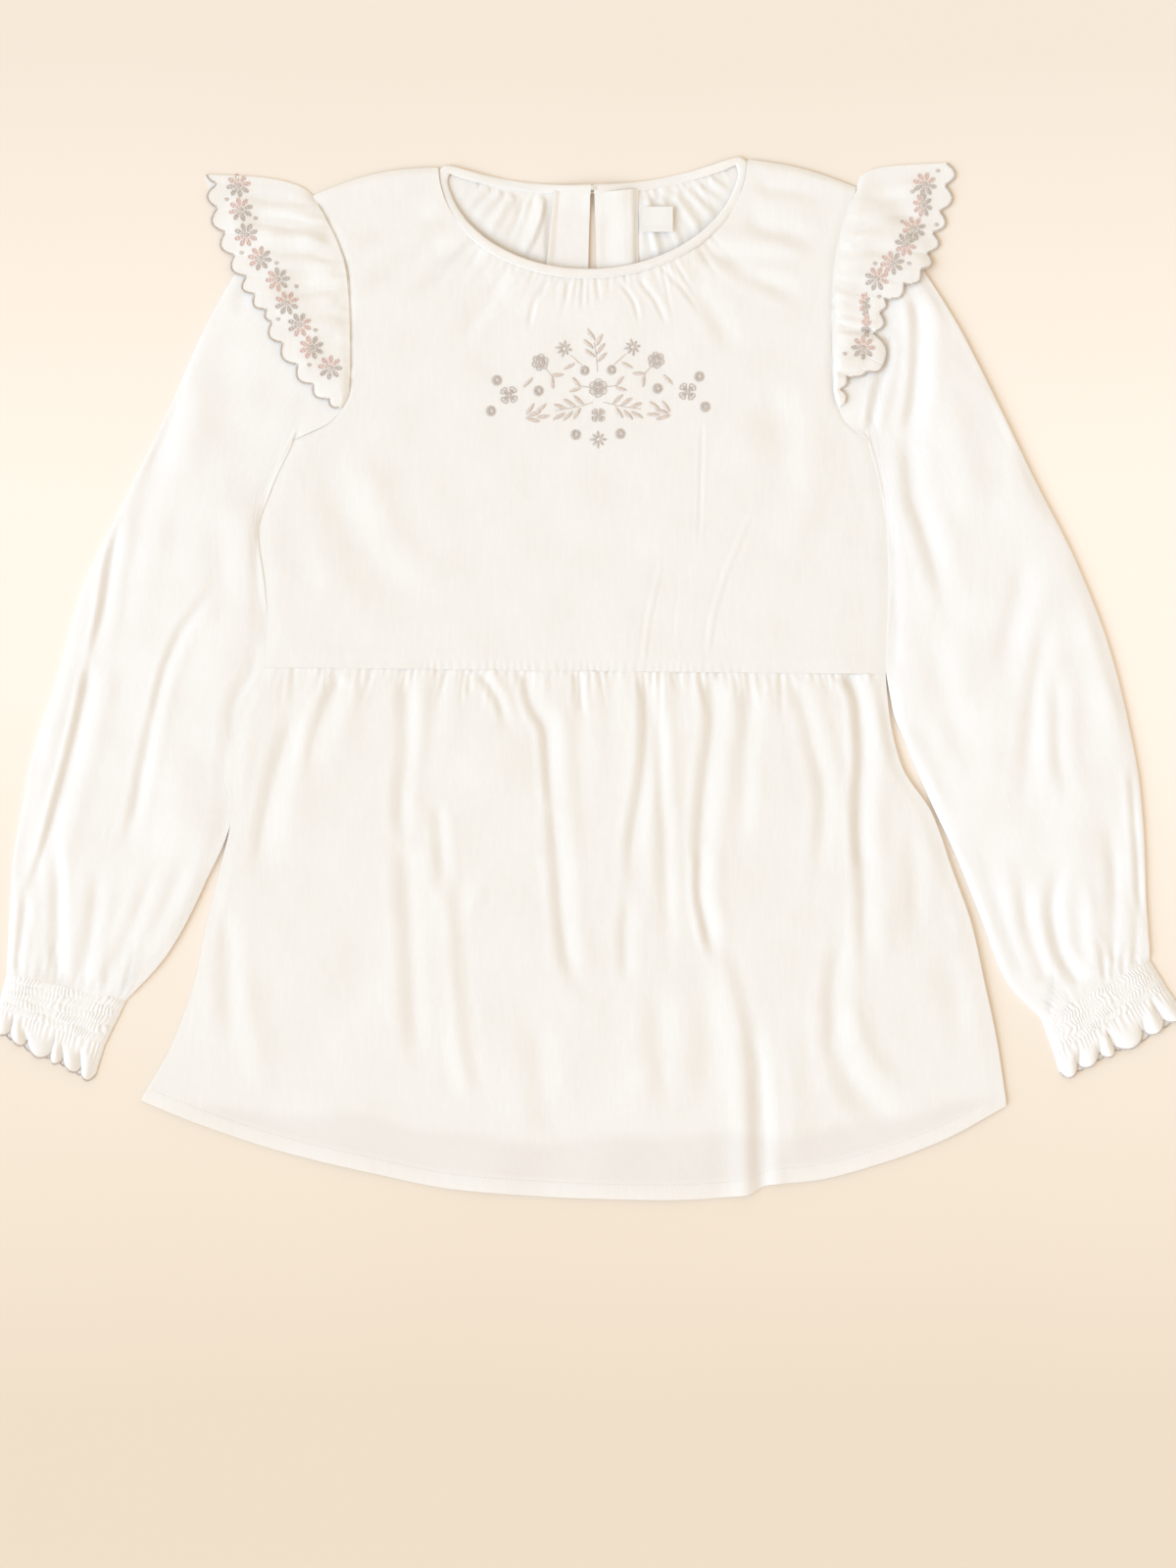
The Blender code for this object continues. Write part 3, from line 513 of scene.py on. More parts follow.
class NodeSheet:
    """A material's nodes, with short ways to add them and to join them."""

    def __init__(self, name: str, roughness: float, sheen: float = 0.0) -> None:
        """Start a material with its Principled shader set.

        Args:
            name: The material's name.
            roughness: The shader's roughness.
            sheen: How much the fibres catch light at a low angle.
        """
        self.material = bpy.data.materials.new(name)
        self.material.use_nodes = True
        self.tree = self.material.node_tree
        self.shader = self.tree.nodes["Principled BSDF"]
        fixed = {"Roughness": roughness, "Sheen Weight": sheen, "Sheen Roughness": 0.6}
        self.fill(self.shader, fixed)

    def fill(self, node: Node, values: dict) -> None:
        """Give a node's sockets their values.

        Args:
            node: The node.
            values: For a socket's name or number, a value or the socket that feeds it.
        """
        for key, value in values.items():
            if isinstance(value, NodeSocket):
                self.tree.links.new(value, node.inputs[key])
            else:
                node.inputs[key].default_value = value

    def add(self, kind: str, values: dict, **settings: str) -> Node:
        """Add a node.

        Args:
            kind: Its kind, as its type's name ends.
            values: What its sockets take, as fill has it.
            settings: Its own settings.

        Returns:
            The node.
        """
        node = self.tree.nodes.new(f"ShaderNode{kind}")
        for key, value in settings.items():
            setattr(node, key, value)
        self.fill(node, values)
        return node

    def coordinates(self, source: str) -> NodeSocket:
        """The object's own coordinates, or its UV map, in metres."""
        return self.add("TexCoord", {}).outputs[source]

    def noise(
        self, place: NodeSocket, size: float, detail: float = 3.0, stretch: float = 1.0
    ) -> NodeSocket:
        """Add soft random patches.

        Args:
            place: Coordinates, in metres.
            size: Size of a patch, in millimetres.
            detail: How many finer sizes are added.
            stretch: How much longer the patches are down the cloth than across it.

        Returns:
            Values from 0 to 1.
        """
        squeeze = {0: place, 1: (1.0, 1.0 / stretch, 1.0)}
        squeezed = self.add("VectorMath", squeeze, operation="MULTIPLY").outputs[0]
        values = {"Vector": squeezed, "Scale": 1.0 / (size * MM), "Detail": detail}
        return self.add("TexNoise", values).outputs["Fac"]

    def wave(self, place: NodeSocket, axis: str, pitch: float, wander: float = 0.0) -> NodeSocket:
        """Add even ridges across one axis.

        Args:
            place: Coordinates, in metres.
            axis: The axis that they follow each other along.
            pitch: From one to the next, in millimetres.
            wander: How much they stray.

        Returns:
            Values from 0 to 1.
        """
        values = {"Vector": place, "Scale": math.pi / 10 / (pitch * MM)}
        values |= {"Distortion": wander, "Detail": 0.0}
        return self.add("TexWave", values, bands_direction=axis).outputs["Fac"]

    def maths(
        self, operation: str, first: NodeSocket | float, second: NodeSocket | float
    ) -> NodeSocket:
        """Work out one sum of two values."""
        return self.add("Math", {0: first, 1: second}, operation=operation).outputs[0]

    def spread(self, value: NodeSocket, low: float, high: float) -> NodeSocket:
        """Stretch the part of a value between low and high to 0 to 1."""
        values = {"Value": value, "From Min": low, "From Max": high}
        return self.add("MapRange", values).outputs["Result"]

    def blend(self, share: NodeSocket, first: NodeSocket | Colour, second: Colour) -> NodeSocket:
        """Mix two colours.

        Args:
            share: How much of the second shows.
            first: The first colour.
            second: The second colour.

        Returns:
            The mixed colour.
        """
        start = (*first, 1.0) if isinstance(first, tuple) else first
        values = {"Factor": share, MIX_FIRST: start, MIX_SECOND: (*second, 1.0)}
        return self.add("Mix", values, data_type="RGBA").outputs[MIX_RESULT]

    def colour(self, value: NodeSocket) -> None:
        """Give the shader its colour."""
        self.fill(self.shader, {"Base Color": value})

    def bump(self, height: NodeSocket, depth: float, under: NodeSocket | None = None) -> NodeSocket:
        """Turn a height into relief.

        Args:
            height: Values from 0 to 1.
            depth: What a height of 1 stands for, in millimetres.
            under: Relief that this one is added to.

        Returns:
            The normal, which the shader also takes.
        """
        values = {"Strength": 1.0, "Distance": depth * MM, "Height": height}
        if under is not None:
            values["Normal"] = under
        normal = self.add("Bump", values).outputs["Normal"]
        self.fill(self.shader, {"Normal": normal})
        return normal

    def let_through(self, share: float, colour: NodeSocket, normal: NodeSocket) -> None:
        """Let light pass softly through the cloth.

        Args:
            share: How much of it passes.
            colour: Its colour on the other side.
            normal: The cloth's relief.
        """
        passing = self.add("BsdfTranslucent", {"Color": colour, "Normal": normal})
        mixed = {"Fac": share, 1: self.shader.outputs[0], 2: passing.outputs[0]}
        surface = self.add("MixShader", mixed).outputs[0]
        self.fill(self.tree.nodes["Material Output"], {"Surface": surface})


@dataclass(frozen=True)
class Cotton:
    """Thin plain-weave cotton: thread crossings, slubs, faint mottling, crumples, and painted
    see-through shade where an attribute marks it.
    """

    name: str
    colour: Colour = (0.93, 0.90, 0.855)
    slub: Colour = (0.955, 0.93, 0.895)
    # painted see-through shade: the warmer colour the cloth takes where the floor would show through a
    # single layer
    sheer: Colour = (0.90, 0.85, 0.80)
    glow: Colour = (0.97, 0.85, 0.67)
    thread_pitch: float = 0.36
    weave_depth: float = 0.03
    crumple_depth: float = 0.22
    crease_depth: float = 0.25
    roughness: float = 0.92
    sheen: float = 0.18
    passing: float = 0.19

    def make(self) -> Material:
        """Build the material.

        Returns:
            The material.
        """
        sheet = NodeSheet(self.name, self.roughness, self.sheen)
        place = sheet.coordinates("UV")
        warp = sheet.wave(place, "X", self.thread_pitch)
        weft = sheet.wave(place, "Y", self.thread_pitch)
        crossing = sheet.maths("MULTIPLY", warp, weft)
        slubs = sheet.spread(sheet.noise(place, 2.2, 2.0, stretch=9.0), 0.45, 0.75)
        mottle = sheet.spread(sheet.noise(place, 26.0, 2.0), 0.35, 0.7)
        plain = sheet.blend(slubs, self.colour, self.slub)
        clouded = sheet.blend(sheet.maths("MULTIPLY", mottle, 0.35), plain, self.slub)
        # painted see-through shade: an attribute mixes the colour and the passing light towards the
        # see-through colour where the front lies over the floor alone
        see_through_share = sheet.add("Attribute", {}, attribute_name="sheer").outputs["Fac"]
        sheet.colour(sheet.blend(see_through_share, clouded, self.sheer))
        crumples = sheet.bump(sheet.noise(place, 7.0, 3.0, stretch=1.6), self.crumple_depth)
        creases = sheet.bump(sheet.noise(place, 34.0, 1.0), self.crease_depth, crumples)
        normal = sheet.bump(crossing, self.weave_depth, creases)
        sheet.let_through(self.passing, sheet.blend(see_through_share, self.glow, self.sheer), normal)
        return sheet.material


@dataclass(frozen=True)
class Floss:
    """Embroidery thread: a twisted strand, paler where it catches the light."""

    name: str
    colour: Colour
    pale: Colour
    ply_pitch: float = 0.5
    ply_depth: float = 0.05
    roughness: float = 0.5
    sheen: float = 0.3

    def make(self) -> Material:
        """Build the material.

        Returns:
            The material.
        """
        sheet = NodeSheet(self.name, self.roughness, self.sheen)
        place = sheet.coordinates("Object")
        patches = sheet.spread(sheet.noise(place, 1.3, 2.0), 0.3, 0.7)
        sheet.colour(sheet.blend(patches, self.colour, self.pale))
        sheet.bump(sheet.wave(place, "DIAGONAL", self.ply_pitch, 1.0), self.ply_depth)
        return sheet.material


@dataclass(frozen=True)
class Tape:
    """Smooth woven label tape with fine ribs."""

    name: str
    colour: Colour = (0.815, 0.79, 0.75)
    rib: Colour = (0.76, 0.735, 0.69)
    pitch: float = 0.5
    depth: float = 0.04

    def make(self) -> Material:
        """Build the material.

        Returns:
            The material.
        """
        sheet = NodeSheet(self.name, 0.6, 0.1)
        place = sheet.coordinates("UV")
        ribs = sheet.wave(place, "Y", self.pitch, 0.4)
        patches = sheet.noise(place, 3.0, 2.0)
        sheet.colour(sheet.blend(sheet.maths("MULTIPLY", ribs, patches), self.colour, self.rib))
        sheet.bump(ribs, self.depth)
        return sheet.material


@dataclass(frozen=True)
class Shell:
    """A polished pearly button with drifting pale bands."""

    name: str
    colour: Colour = (0.80, 0.77, 0.71)
    band: Colour = (0.92, 0.90, 0.88)

    def make(self) -> Material:
        """Build the material.

        Returns:
            The material.
        """
        sheet = NodeSheet(self.name, 0.22)
        place = sheet.coordinates("Object")
        sheet.colour(sheet.blend(sheet.wave(place, "X", 2.2, 6.0), self.colour, self.band))
        sheet.bump(sheet.noise(place, 1.1, 2.0), 0.02)
        return sheet.material


@dataclass(frozen=True)
class Paper:
    """The pale surface that the blouse lies on, with painted shade that deepens it towards its far and
    near ends, where the light falls off.
    """

    name: str
    colour: Colour = (0.90, 0.80, 0.70)
    # painted shade: the colours that the floor darkens to at its far and near ends
    far: Colour = (0.782, 0.690, 0.584)
    near: Colour = (0.735, 0.625, 0.490)

    def make(self) -> Material:
        """Build the material.

        Returns:
            The material.
        """
        sheet = NodeSheet(self.name, 0.8)
        place = sheet.coordinates("Object")
        height = sheet.add("SeparateXYZ", {0: place}).outputs["Y"]
        drift = sheet.maths("MULTIPLY", sheet.noise(place, 300.0, 1.0), 0.06)
        along = sheet.maths("ADD", height, drift)
        # painted shade: blend along Y towards the darker far colour, then the near one
        far_painted_shade = sheet.blend(sheet.spread(along, 0.16, 0.44), self.colour, self.far)
        sheet.colour(sheet.blend(sheet.spread(along, 0.02, -0.46), far_painted_shade, self.near))
        sheet.bump(sheet.noise(place, 0.8, 2.0), 0.03)
        return sheet.material


# --- From points to pieces ---


def vertices_of(mesh: Mesh) -> Array:
    """Read a mesh's vertices.

    Args:
        mesh: The mesh.

    Returns:
        Their places, in metres.
    """
    places = np.empty(3 * len(mesh.vertices))
    mesh.vertices.foreach_get("co", places)
    return places.reshape(-1, 3)


def grid_mesh(name: str, points: Array, closed: bool, missing: Array | None) -> Mesh:
    """Lay a mesh through a grid of points, with a UV map in metres of cloth.

    Args:
        name: The mesh's name.
        points: Points in millimetres, rows by columns by 3.
        closed: Whether the last column meets the first, as in a tube.
        missing: Cells to leave open, rows - 1 by columns - 1, or None.

    Returns:
        The mesh, its faces upwards or outwards.
    """
    if closed:
        points = np.concatenate([points, points[:, :1]], axis=1)
    rows, columns = points.shape[:2]
    cells = np.array([columns - 1, rows - 1])
    grid = bmesh.new()
    bmesh.ops.create_grid(grid, x_segments=cells[0], y_segments=cells[1], size=1.0)
    if missing is not None:
        gone = []
        for face in grid.faces:
            column, row = ((np.array(face.calc_center_median()[:2]) + 1) * cells / 2).astype(int)
            if missing[row, column]:
                gone.append(face)
        bmesh.ops.delete(grid, geom=gone, context="FACES")
    mesh = bpy.data.meshes.new(name)
    grid.to_mesh(mesh)
    grid.free()
    column, row = np.rint((vertices_of(mesh)[:, :2] + 1) * cells / 2).astype(int).T
    mesh.vertices.foreach_set("co", (points[row, column] * MM).ravel())
    across, up = points[..., 0], points[..., 1]
    if closed:
        across = np.linalg.norm(np.diff(points, axis=1), axis=2).cumsum(axis=1)
        across = np.concatenate([np.zeros((rows, 1)), across], axis=1)
        across -= across[:, -1:] / 2
        down = np.linalg.norm(np.diff(points, axis=0), axis=2).cumsum(axis=0)
        up = -np.concatenate([np.zeros((1, columns)), down], axis=0)
    corner = np.empty(len(mesh.loops), int)
    mesh.loops.foreach_get("vertex_index", corner)
    place = np.stack([across[row, column], up[row, column]], axis=-1)[corner] * MM
    mesh.uv_layers.new(name="cloth").uv.foreach_set("vector", place.ravel())
    mesh.shade_smooth()
    seamed = bmesh.new()
    seamed.from_mesh(mesh)
    if closed:
        bmesh.ops.remove_doubles(seamed, verts=seamed.verts[:], dist=1e-7)
        bmesh.ops.recalc_face_normals(seamed, faces=seamed.faces[:])
    for edge in seamed.edges:
        edge.smooth = not edge.is_boundary and edge.calc_face_angle(0.0) < SHARP_TURN
    seamed.to_mesh(mesh)
    seamed.free()
    return mesh


def add_piece(mesh: Mesh, finish: Material, node: str | None) -> Object:
    """Put a mesh in the scene as a piece of the blouse.

    Args:
        mesh: The mesh, whose name becomes the piece's.
        finish: Its material.
        node: The CAD node that it stands for, if any.

    Returns:
        The new object.
    """
    piece = bpy.data.objects.new(mesh.name, mesh)
    mesh.materials.append(finish)
    bpy.context.scene.collection.objects.link(piece)
    if node:
        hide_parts(node)
    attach(piece, BODY)
    return piece


@dataclass(frozen=True)
class Cut:
    """How a sheet was cut: its size laid flat, and its area where it isn't a rectangle."""

    width: float
    length: float
    area: float | None
    held: Hold

    def declare(self, piece: Object) -> None:
        """Do nothing: the piece's cut is not passed on.

        Args:
            piece: The piece. Not used.
        """


@dataclass
class Cloth:
    """One sheet through a grid of points, which stands for a CAD node of the same name."""

    node: str
    points: Array
    finish: Material
    cut: Cut
    closed: bool = False
    missing: Array | None = None
    slot: str = "ivory_cotton"
    stuff: str = "cloth"
    wall: float = WALL

    def make(self) -> Object:
        """Lay the sheet and give it half its wall to each side.

        Returns:
            The piece.
        """
        mesh = grid_mesh(f"{self.node}_{self.stuff}", self.points, self.closed, self.missing)
        piece = add_piece(mesh, self.finish, self.node)
        solid = piece.modifiers.new("cloth wall", "SOLIDIFY")
        solid.thickness = self.wall * MM
        solid.offset = 0.0
        self.cut.declare(piece)
        return piece


class Surface:
    """The top of finished pieces, for threads to lie on."""

    def __init__(self, *pieces: Object) -> None:
        """Take the pieces' shapes as they are shown."""
        graph = bpy.context.evaluated_depsgraph_get()
        self.trees = [BVHTree.FromObject(piece, graph) for piece in pieces]

    def height(self, x: float, y: float) -> float:
        """Find the top at a place.

        Args:
            x: Place across.
            y: Place up.

        Returns:
            Its height, or 0 where no piece is.
        """
        start, down = Vector((x * MM, y * MM, 0.1)), Vector((0.0, 0.0, -1.0))
        hits = [tree.ray_cast(start, down)[0] for tree in self.trees]
        return max((hit.z / MM for hit in hits if hit is not None), default=0.0)

    def on(self, plan: Array, above: float = 0.0) -> Array:
        """Plan points, raised to a distance above the top."""
        heights = np.array([self.height(x, y) + above for x, y in plan.reshape(-1, 2)])
        return solid_points(plan, heights.reshape(plan.shape[:-1]))


@dataclass
class Threads:
    """Many short stitches that become one joined mesh."""

    name: str
    finish: Material
    radius: float
    sides: int = 5
    spans: int = 4

    def __post_init__(self) -> None:
        """Start with no stitches."""
        self.stitches: list[tuple[Array, Array, Array]] = []

    def add(self, starts: Array, ends: Array, lift: float) -> None:
        """Add stitches between pairs of points, arching by lift at their middles."""
        starts = starts.reshape(-1, 3)
        self.stitches.append((starts, ends.reshape(-1, 3), np.full(len(starts), lift)))

    def one_stitch(self) -> Mesh:
        """Make the shape that every stitch is bent from.

        Returns:
            A stitch of length 1 and radius 1, along Z.
        """
        one = bmesh.new()
        bmesh.ops.create_cone(
            one, cap_ends=True, segments=self.sides, radius1=1.0, radius2=1.0, depth=1.0
        )
        for level in np.linspace(-0.5, 0.5, self.spans + 1)[1:-1]:
            whole = one.verts[:] + one.edges[:] + one.faces[:]
            bmesh.ops.bisect_plane(one, geom=whole, plane_co=(0, 0, level), plane_no=(0, 0, 1))
        mesh = bpy.data.meshes.new("stitch")
        one.to_mesh(mesh)
        one.free()
        return mesh

    def build(self, slot: str) -> Object:
        """Lay every stitch.

        Args:
            slot: Not used.

        Returns:
            The piece that holds them all.
        """
        start, end, lift = (np.concatenate(part) for part in zip(*self.stitches))
        source = bpy.data.objects.new("stitch", self.one_stitch())
        bpy.context.scene.collection.objects.link(source)
        source.modifiers.new("copies", "ARRAY").count = len(start)
        shown = source.evaluated_get(bpy.context.evaluated_depsgraph_get())
        mesh = bpy.data.meshes.new_from_object(shown)
        mesh.name = self.name
        own = vertices_of(source.data)[None]
        share = own[..., 2] + 0.5
        way = unit(end - start)
        side = unit(np.cross((0.0, 0.0, 1.0), way))
        up = np.cross(way, side)
        width = self.radius * (0.45 + 0.55 * np.sqrt(4 * share * (1 - share)))
        middle = start[:, None] + (end - start)[:, None] * share[..., None]
        middle[..., 2] += 4 * share * (1 - share) * lift[:, None]
        middle += side[:, None] * (own[..., 0] * width)[..., None]
        middle += up[:, None] * (own[..., 1] * width * 0.8)[..., None]
        mesh.vertices.foreach_set("co", (middle * MM).ravel())
        mesh.shade_smooth()
        bpy.data.objects.remove(source)
        return add_piece(mesh, self.finish, None)


class Gathers(NamedTuple):
    """Fine folds that start on a seam, uneven in spacing, length, depth and slant."""

    spacing: tuple[float, float]
    length: tuple[float, float]
    height: tuple[float, float]
    width: tuple[float, float]
    slant: float
    seed: int

    def folds(self, seam: Array, ways: Array) -> list[Fold]:
        """Draw the folds along a seam.

        Args:
            seam: Plan points along the seam.
            ways: At each of them, the direction in which a fold leaves it.

        Returns:
            The folds, from one end of the seam to the other.
        """
        chance = np.random.default_rng(self.seed)
        run = run_of(seam)
        place, folds = chance.uniform(*self.spacing), []
        while place < run[-1]:
            start, way = on_line(seam, run, place), on_line(ways, run, place)
            length = self.length[0] + np.diff(self.length)[0] * chance.random() ** 2
            lean = chance.normal(0.0, self.slant, 2)
            beside = np.array([-way[1], way[0]])
            middle = start + length * 0.5 * (way + lean[0] * beside)
            end = start + length * (way + (lean[0] + lean[1]) * beside)
            width = chance.uniform(*self.width)
            line = (*(start - 2 * way), *middle, *end)
            height = chance.uniform(*self.height)
            folds.append(Fold(line, height, width, width * chance.uniform(0.8, 1.5), 0.02, 0.9))
            place += chance.uniform(*self.spacing)
        return folds


# --- Bodice ---

NECK_PLEATS = table(
    Fold,
    ((-26, 267, -38, 252, -42, 230), -1.1, 1.3, 2), ((-15, 267, -17, 250), -0.8, 1.2, 1.6, 0.02),
    ((-5, 268, -6, 246), -0.9, 1.1, 1.6, 0.02), ((4, 267, 6, 252), -0.7, 1.1, 1.4, 0.02),
    ((18, 267, 29, 252, 33, 236), -1, 1.4, 1.2), ((30, 270, 44, 252, 52, 234), -1, 1.9, 1.3),
    ((-47, 267, -66, 245), -0.9, 1.3, 1.9, 0.02), ((-55, 274, -70, 257), -0.7, 1.3, 1.9, 0.02),
    ((48, 275, 66, 256, 74, 243), -0.8, 1.8, 1.3, 0.02),
)
SHOULDER_DRAPES = table(
    Fold,
    ((-92, 297, -122, 278, -158, 258), -2.5, 5, 7), ((-100, 317, -128, 303, -162, 290), -2, 5, 8),
    ((-68, 290, -94, 274, -125, 252), -2, 4.5, 6), ((-50, 273, -70, 250, -94, 220), -1.5, 4, 7),
    ((70, 288, 104, 282, 140, 281), -2.4, 6, 4.5), ((86, 281, 114, 268, 148, 253), -2, 6, 4.5),
    ((100, 306, 126, 300, 155, 294), -2.2, 7, 5), ((106, 331, 132, 328, 160, 324), -1.5, 5, 4),
    ((62, 270, 82, 246, 98, 216), -1.2, 7, 5),
)
CHEST_DRAPES = table(
    Fold,
    ((-176, 172, -171, 128, -150, 78, -95, 37), -1.8, 10, 13, 0.35, 0.5),
    ((-150, 150, -138, 112, -110, 62), 1, 9, 9), ((-205, 130, -196, 92, -190, 40), -0.8, 9, 9),
    ((107, 202, 126, 176, 131, 144, 112, 104), -1.7, 10, 13, 0.35, 0.5),
    ((158, 132, 144, 110, 126, 84), 1.1, 9, 10), ((176, 150, 184, 110, 180, 60), -0.8, 8, 9),
    ((-60, 120, -30, 96, 10, 88, 60, 100), -0.7, 14, 18, 0.4, 0.5),
    ((-20, 170, -60, 150, -110, 150), 0.6, 12, 12), ((20, 60, 60, 50, 120, 46), 0.6, 12, 12),
)
CHEST_CREASES = table(
    Fold,
    ((75, 178, 74, 130, 72, 80), -0.29, 1.3, 1.3, 0.2, 0.4, 0.6),
    ((115, 123, 104, 102, 90, 68, 82, 40, 78, 12), 0.35, 1.5, 1.8, 0.15, 0.15, 0.5),
    ((49, 83, 43, 59, 38, 34, 35, 8), 0.29, 1.4, 1.6, 0.2, 0.1, 0.5),
    ((60, 70, 56, 40, 54, 12), -0.17, 1.6, 1.6),
)
DARTS = table(
    Fold,
    ((-221, 83, -190, 83.5, -140, 84), 0.55, 1.2, 1.6, 0.02, 0.7, 0.9),
    ((201, 86, 176, 88, 150, 90), 0.45, 1.2, 1.6, 0.02, 0.7, 0.9),
)
INNER_FOLDS = table(
    Fold,
    ((-31, 324, -33, 312, -38, 297, -47, 283, -58, 270), 2.2, 1, 4, 0.05, 0.1, 0.3),
    ((-44, 324, -50, 306, -62, 286), -1.5, 1.4, 2.4, 0.03, 0.4, 0),
    ((-52, 325, -62, 309, -78, 290), 1.8, 2.2, 3, 0.03, 0.3, 0.2),
    ((-60, 327, -72, 314, -90, 298), 1.7, 1.8, 2.6, 0.03, 0.3, 0.2),
    ((-68, 329, -80, 320, -96, 308), 1.6, 1.6, 2.4, 0.03, 0.3, 0.2),
    ((-76, 332, -87, 326, -100, 318), 1.4, 1.4, 2, 0.03, 0.3, 0.2),
    ((38, 323, 41, 302, 48, 278, 54, 264), 1.9, 2.4, 2, 0.03, 0.3, 0.2),
    ((47, 324, 54, 304, 64, 284, 72, 272), 1.6, 2.2, 1.8, 0.03, 0.3, 0.2),
    ((56, 326, 67, 309, 80, 292), 1.9, 2.8, 2.2, 0.03, 0.3, 0.2),
    ((64, 328, 76, 316, 92, 302), 1.6, 2.2, 1.6, 0.03, 0.3, 0.2),
    ((72, 331, 84, 322, 98, 313), 1.5, 2, 1.4, 0.03, 0.3, 0.2),
    ((80, 335, 90, 329, 102, 323), 1.3, 1.8, 1.4, 0.03, 0.3, 0.2),
)


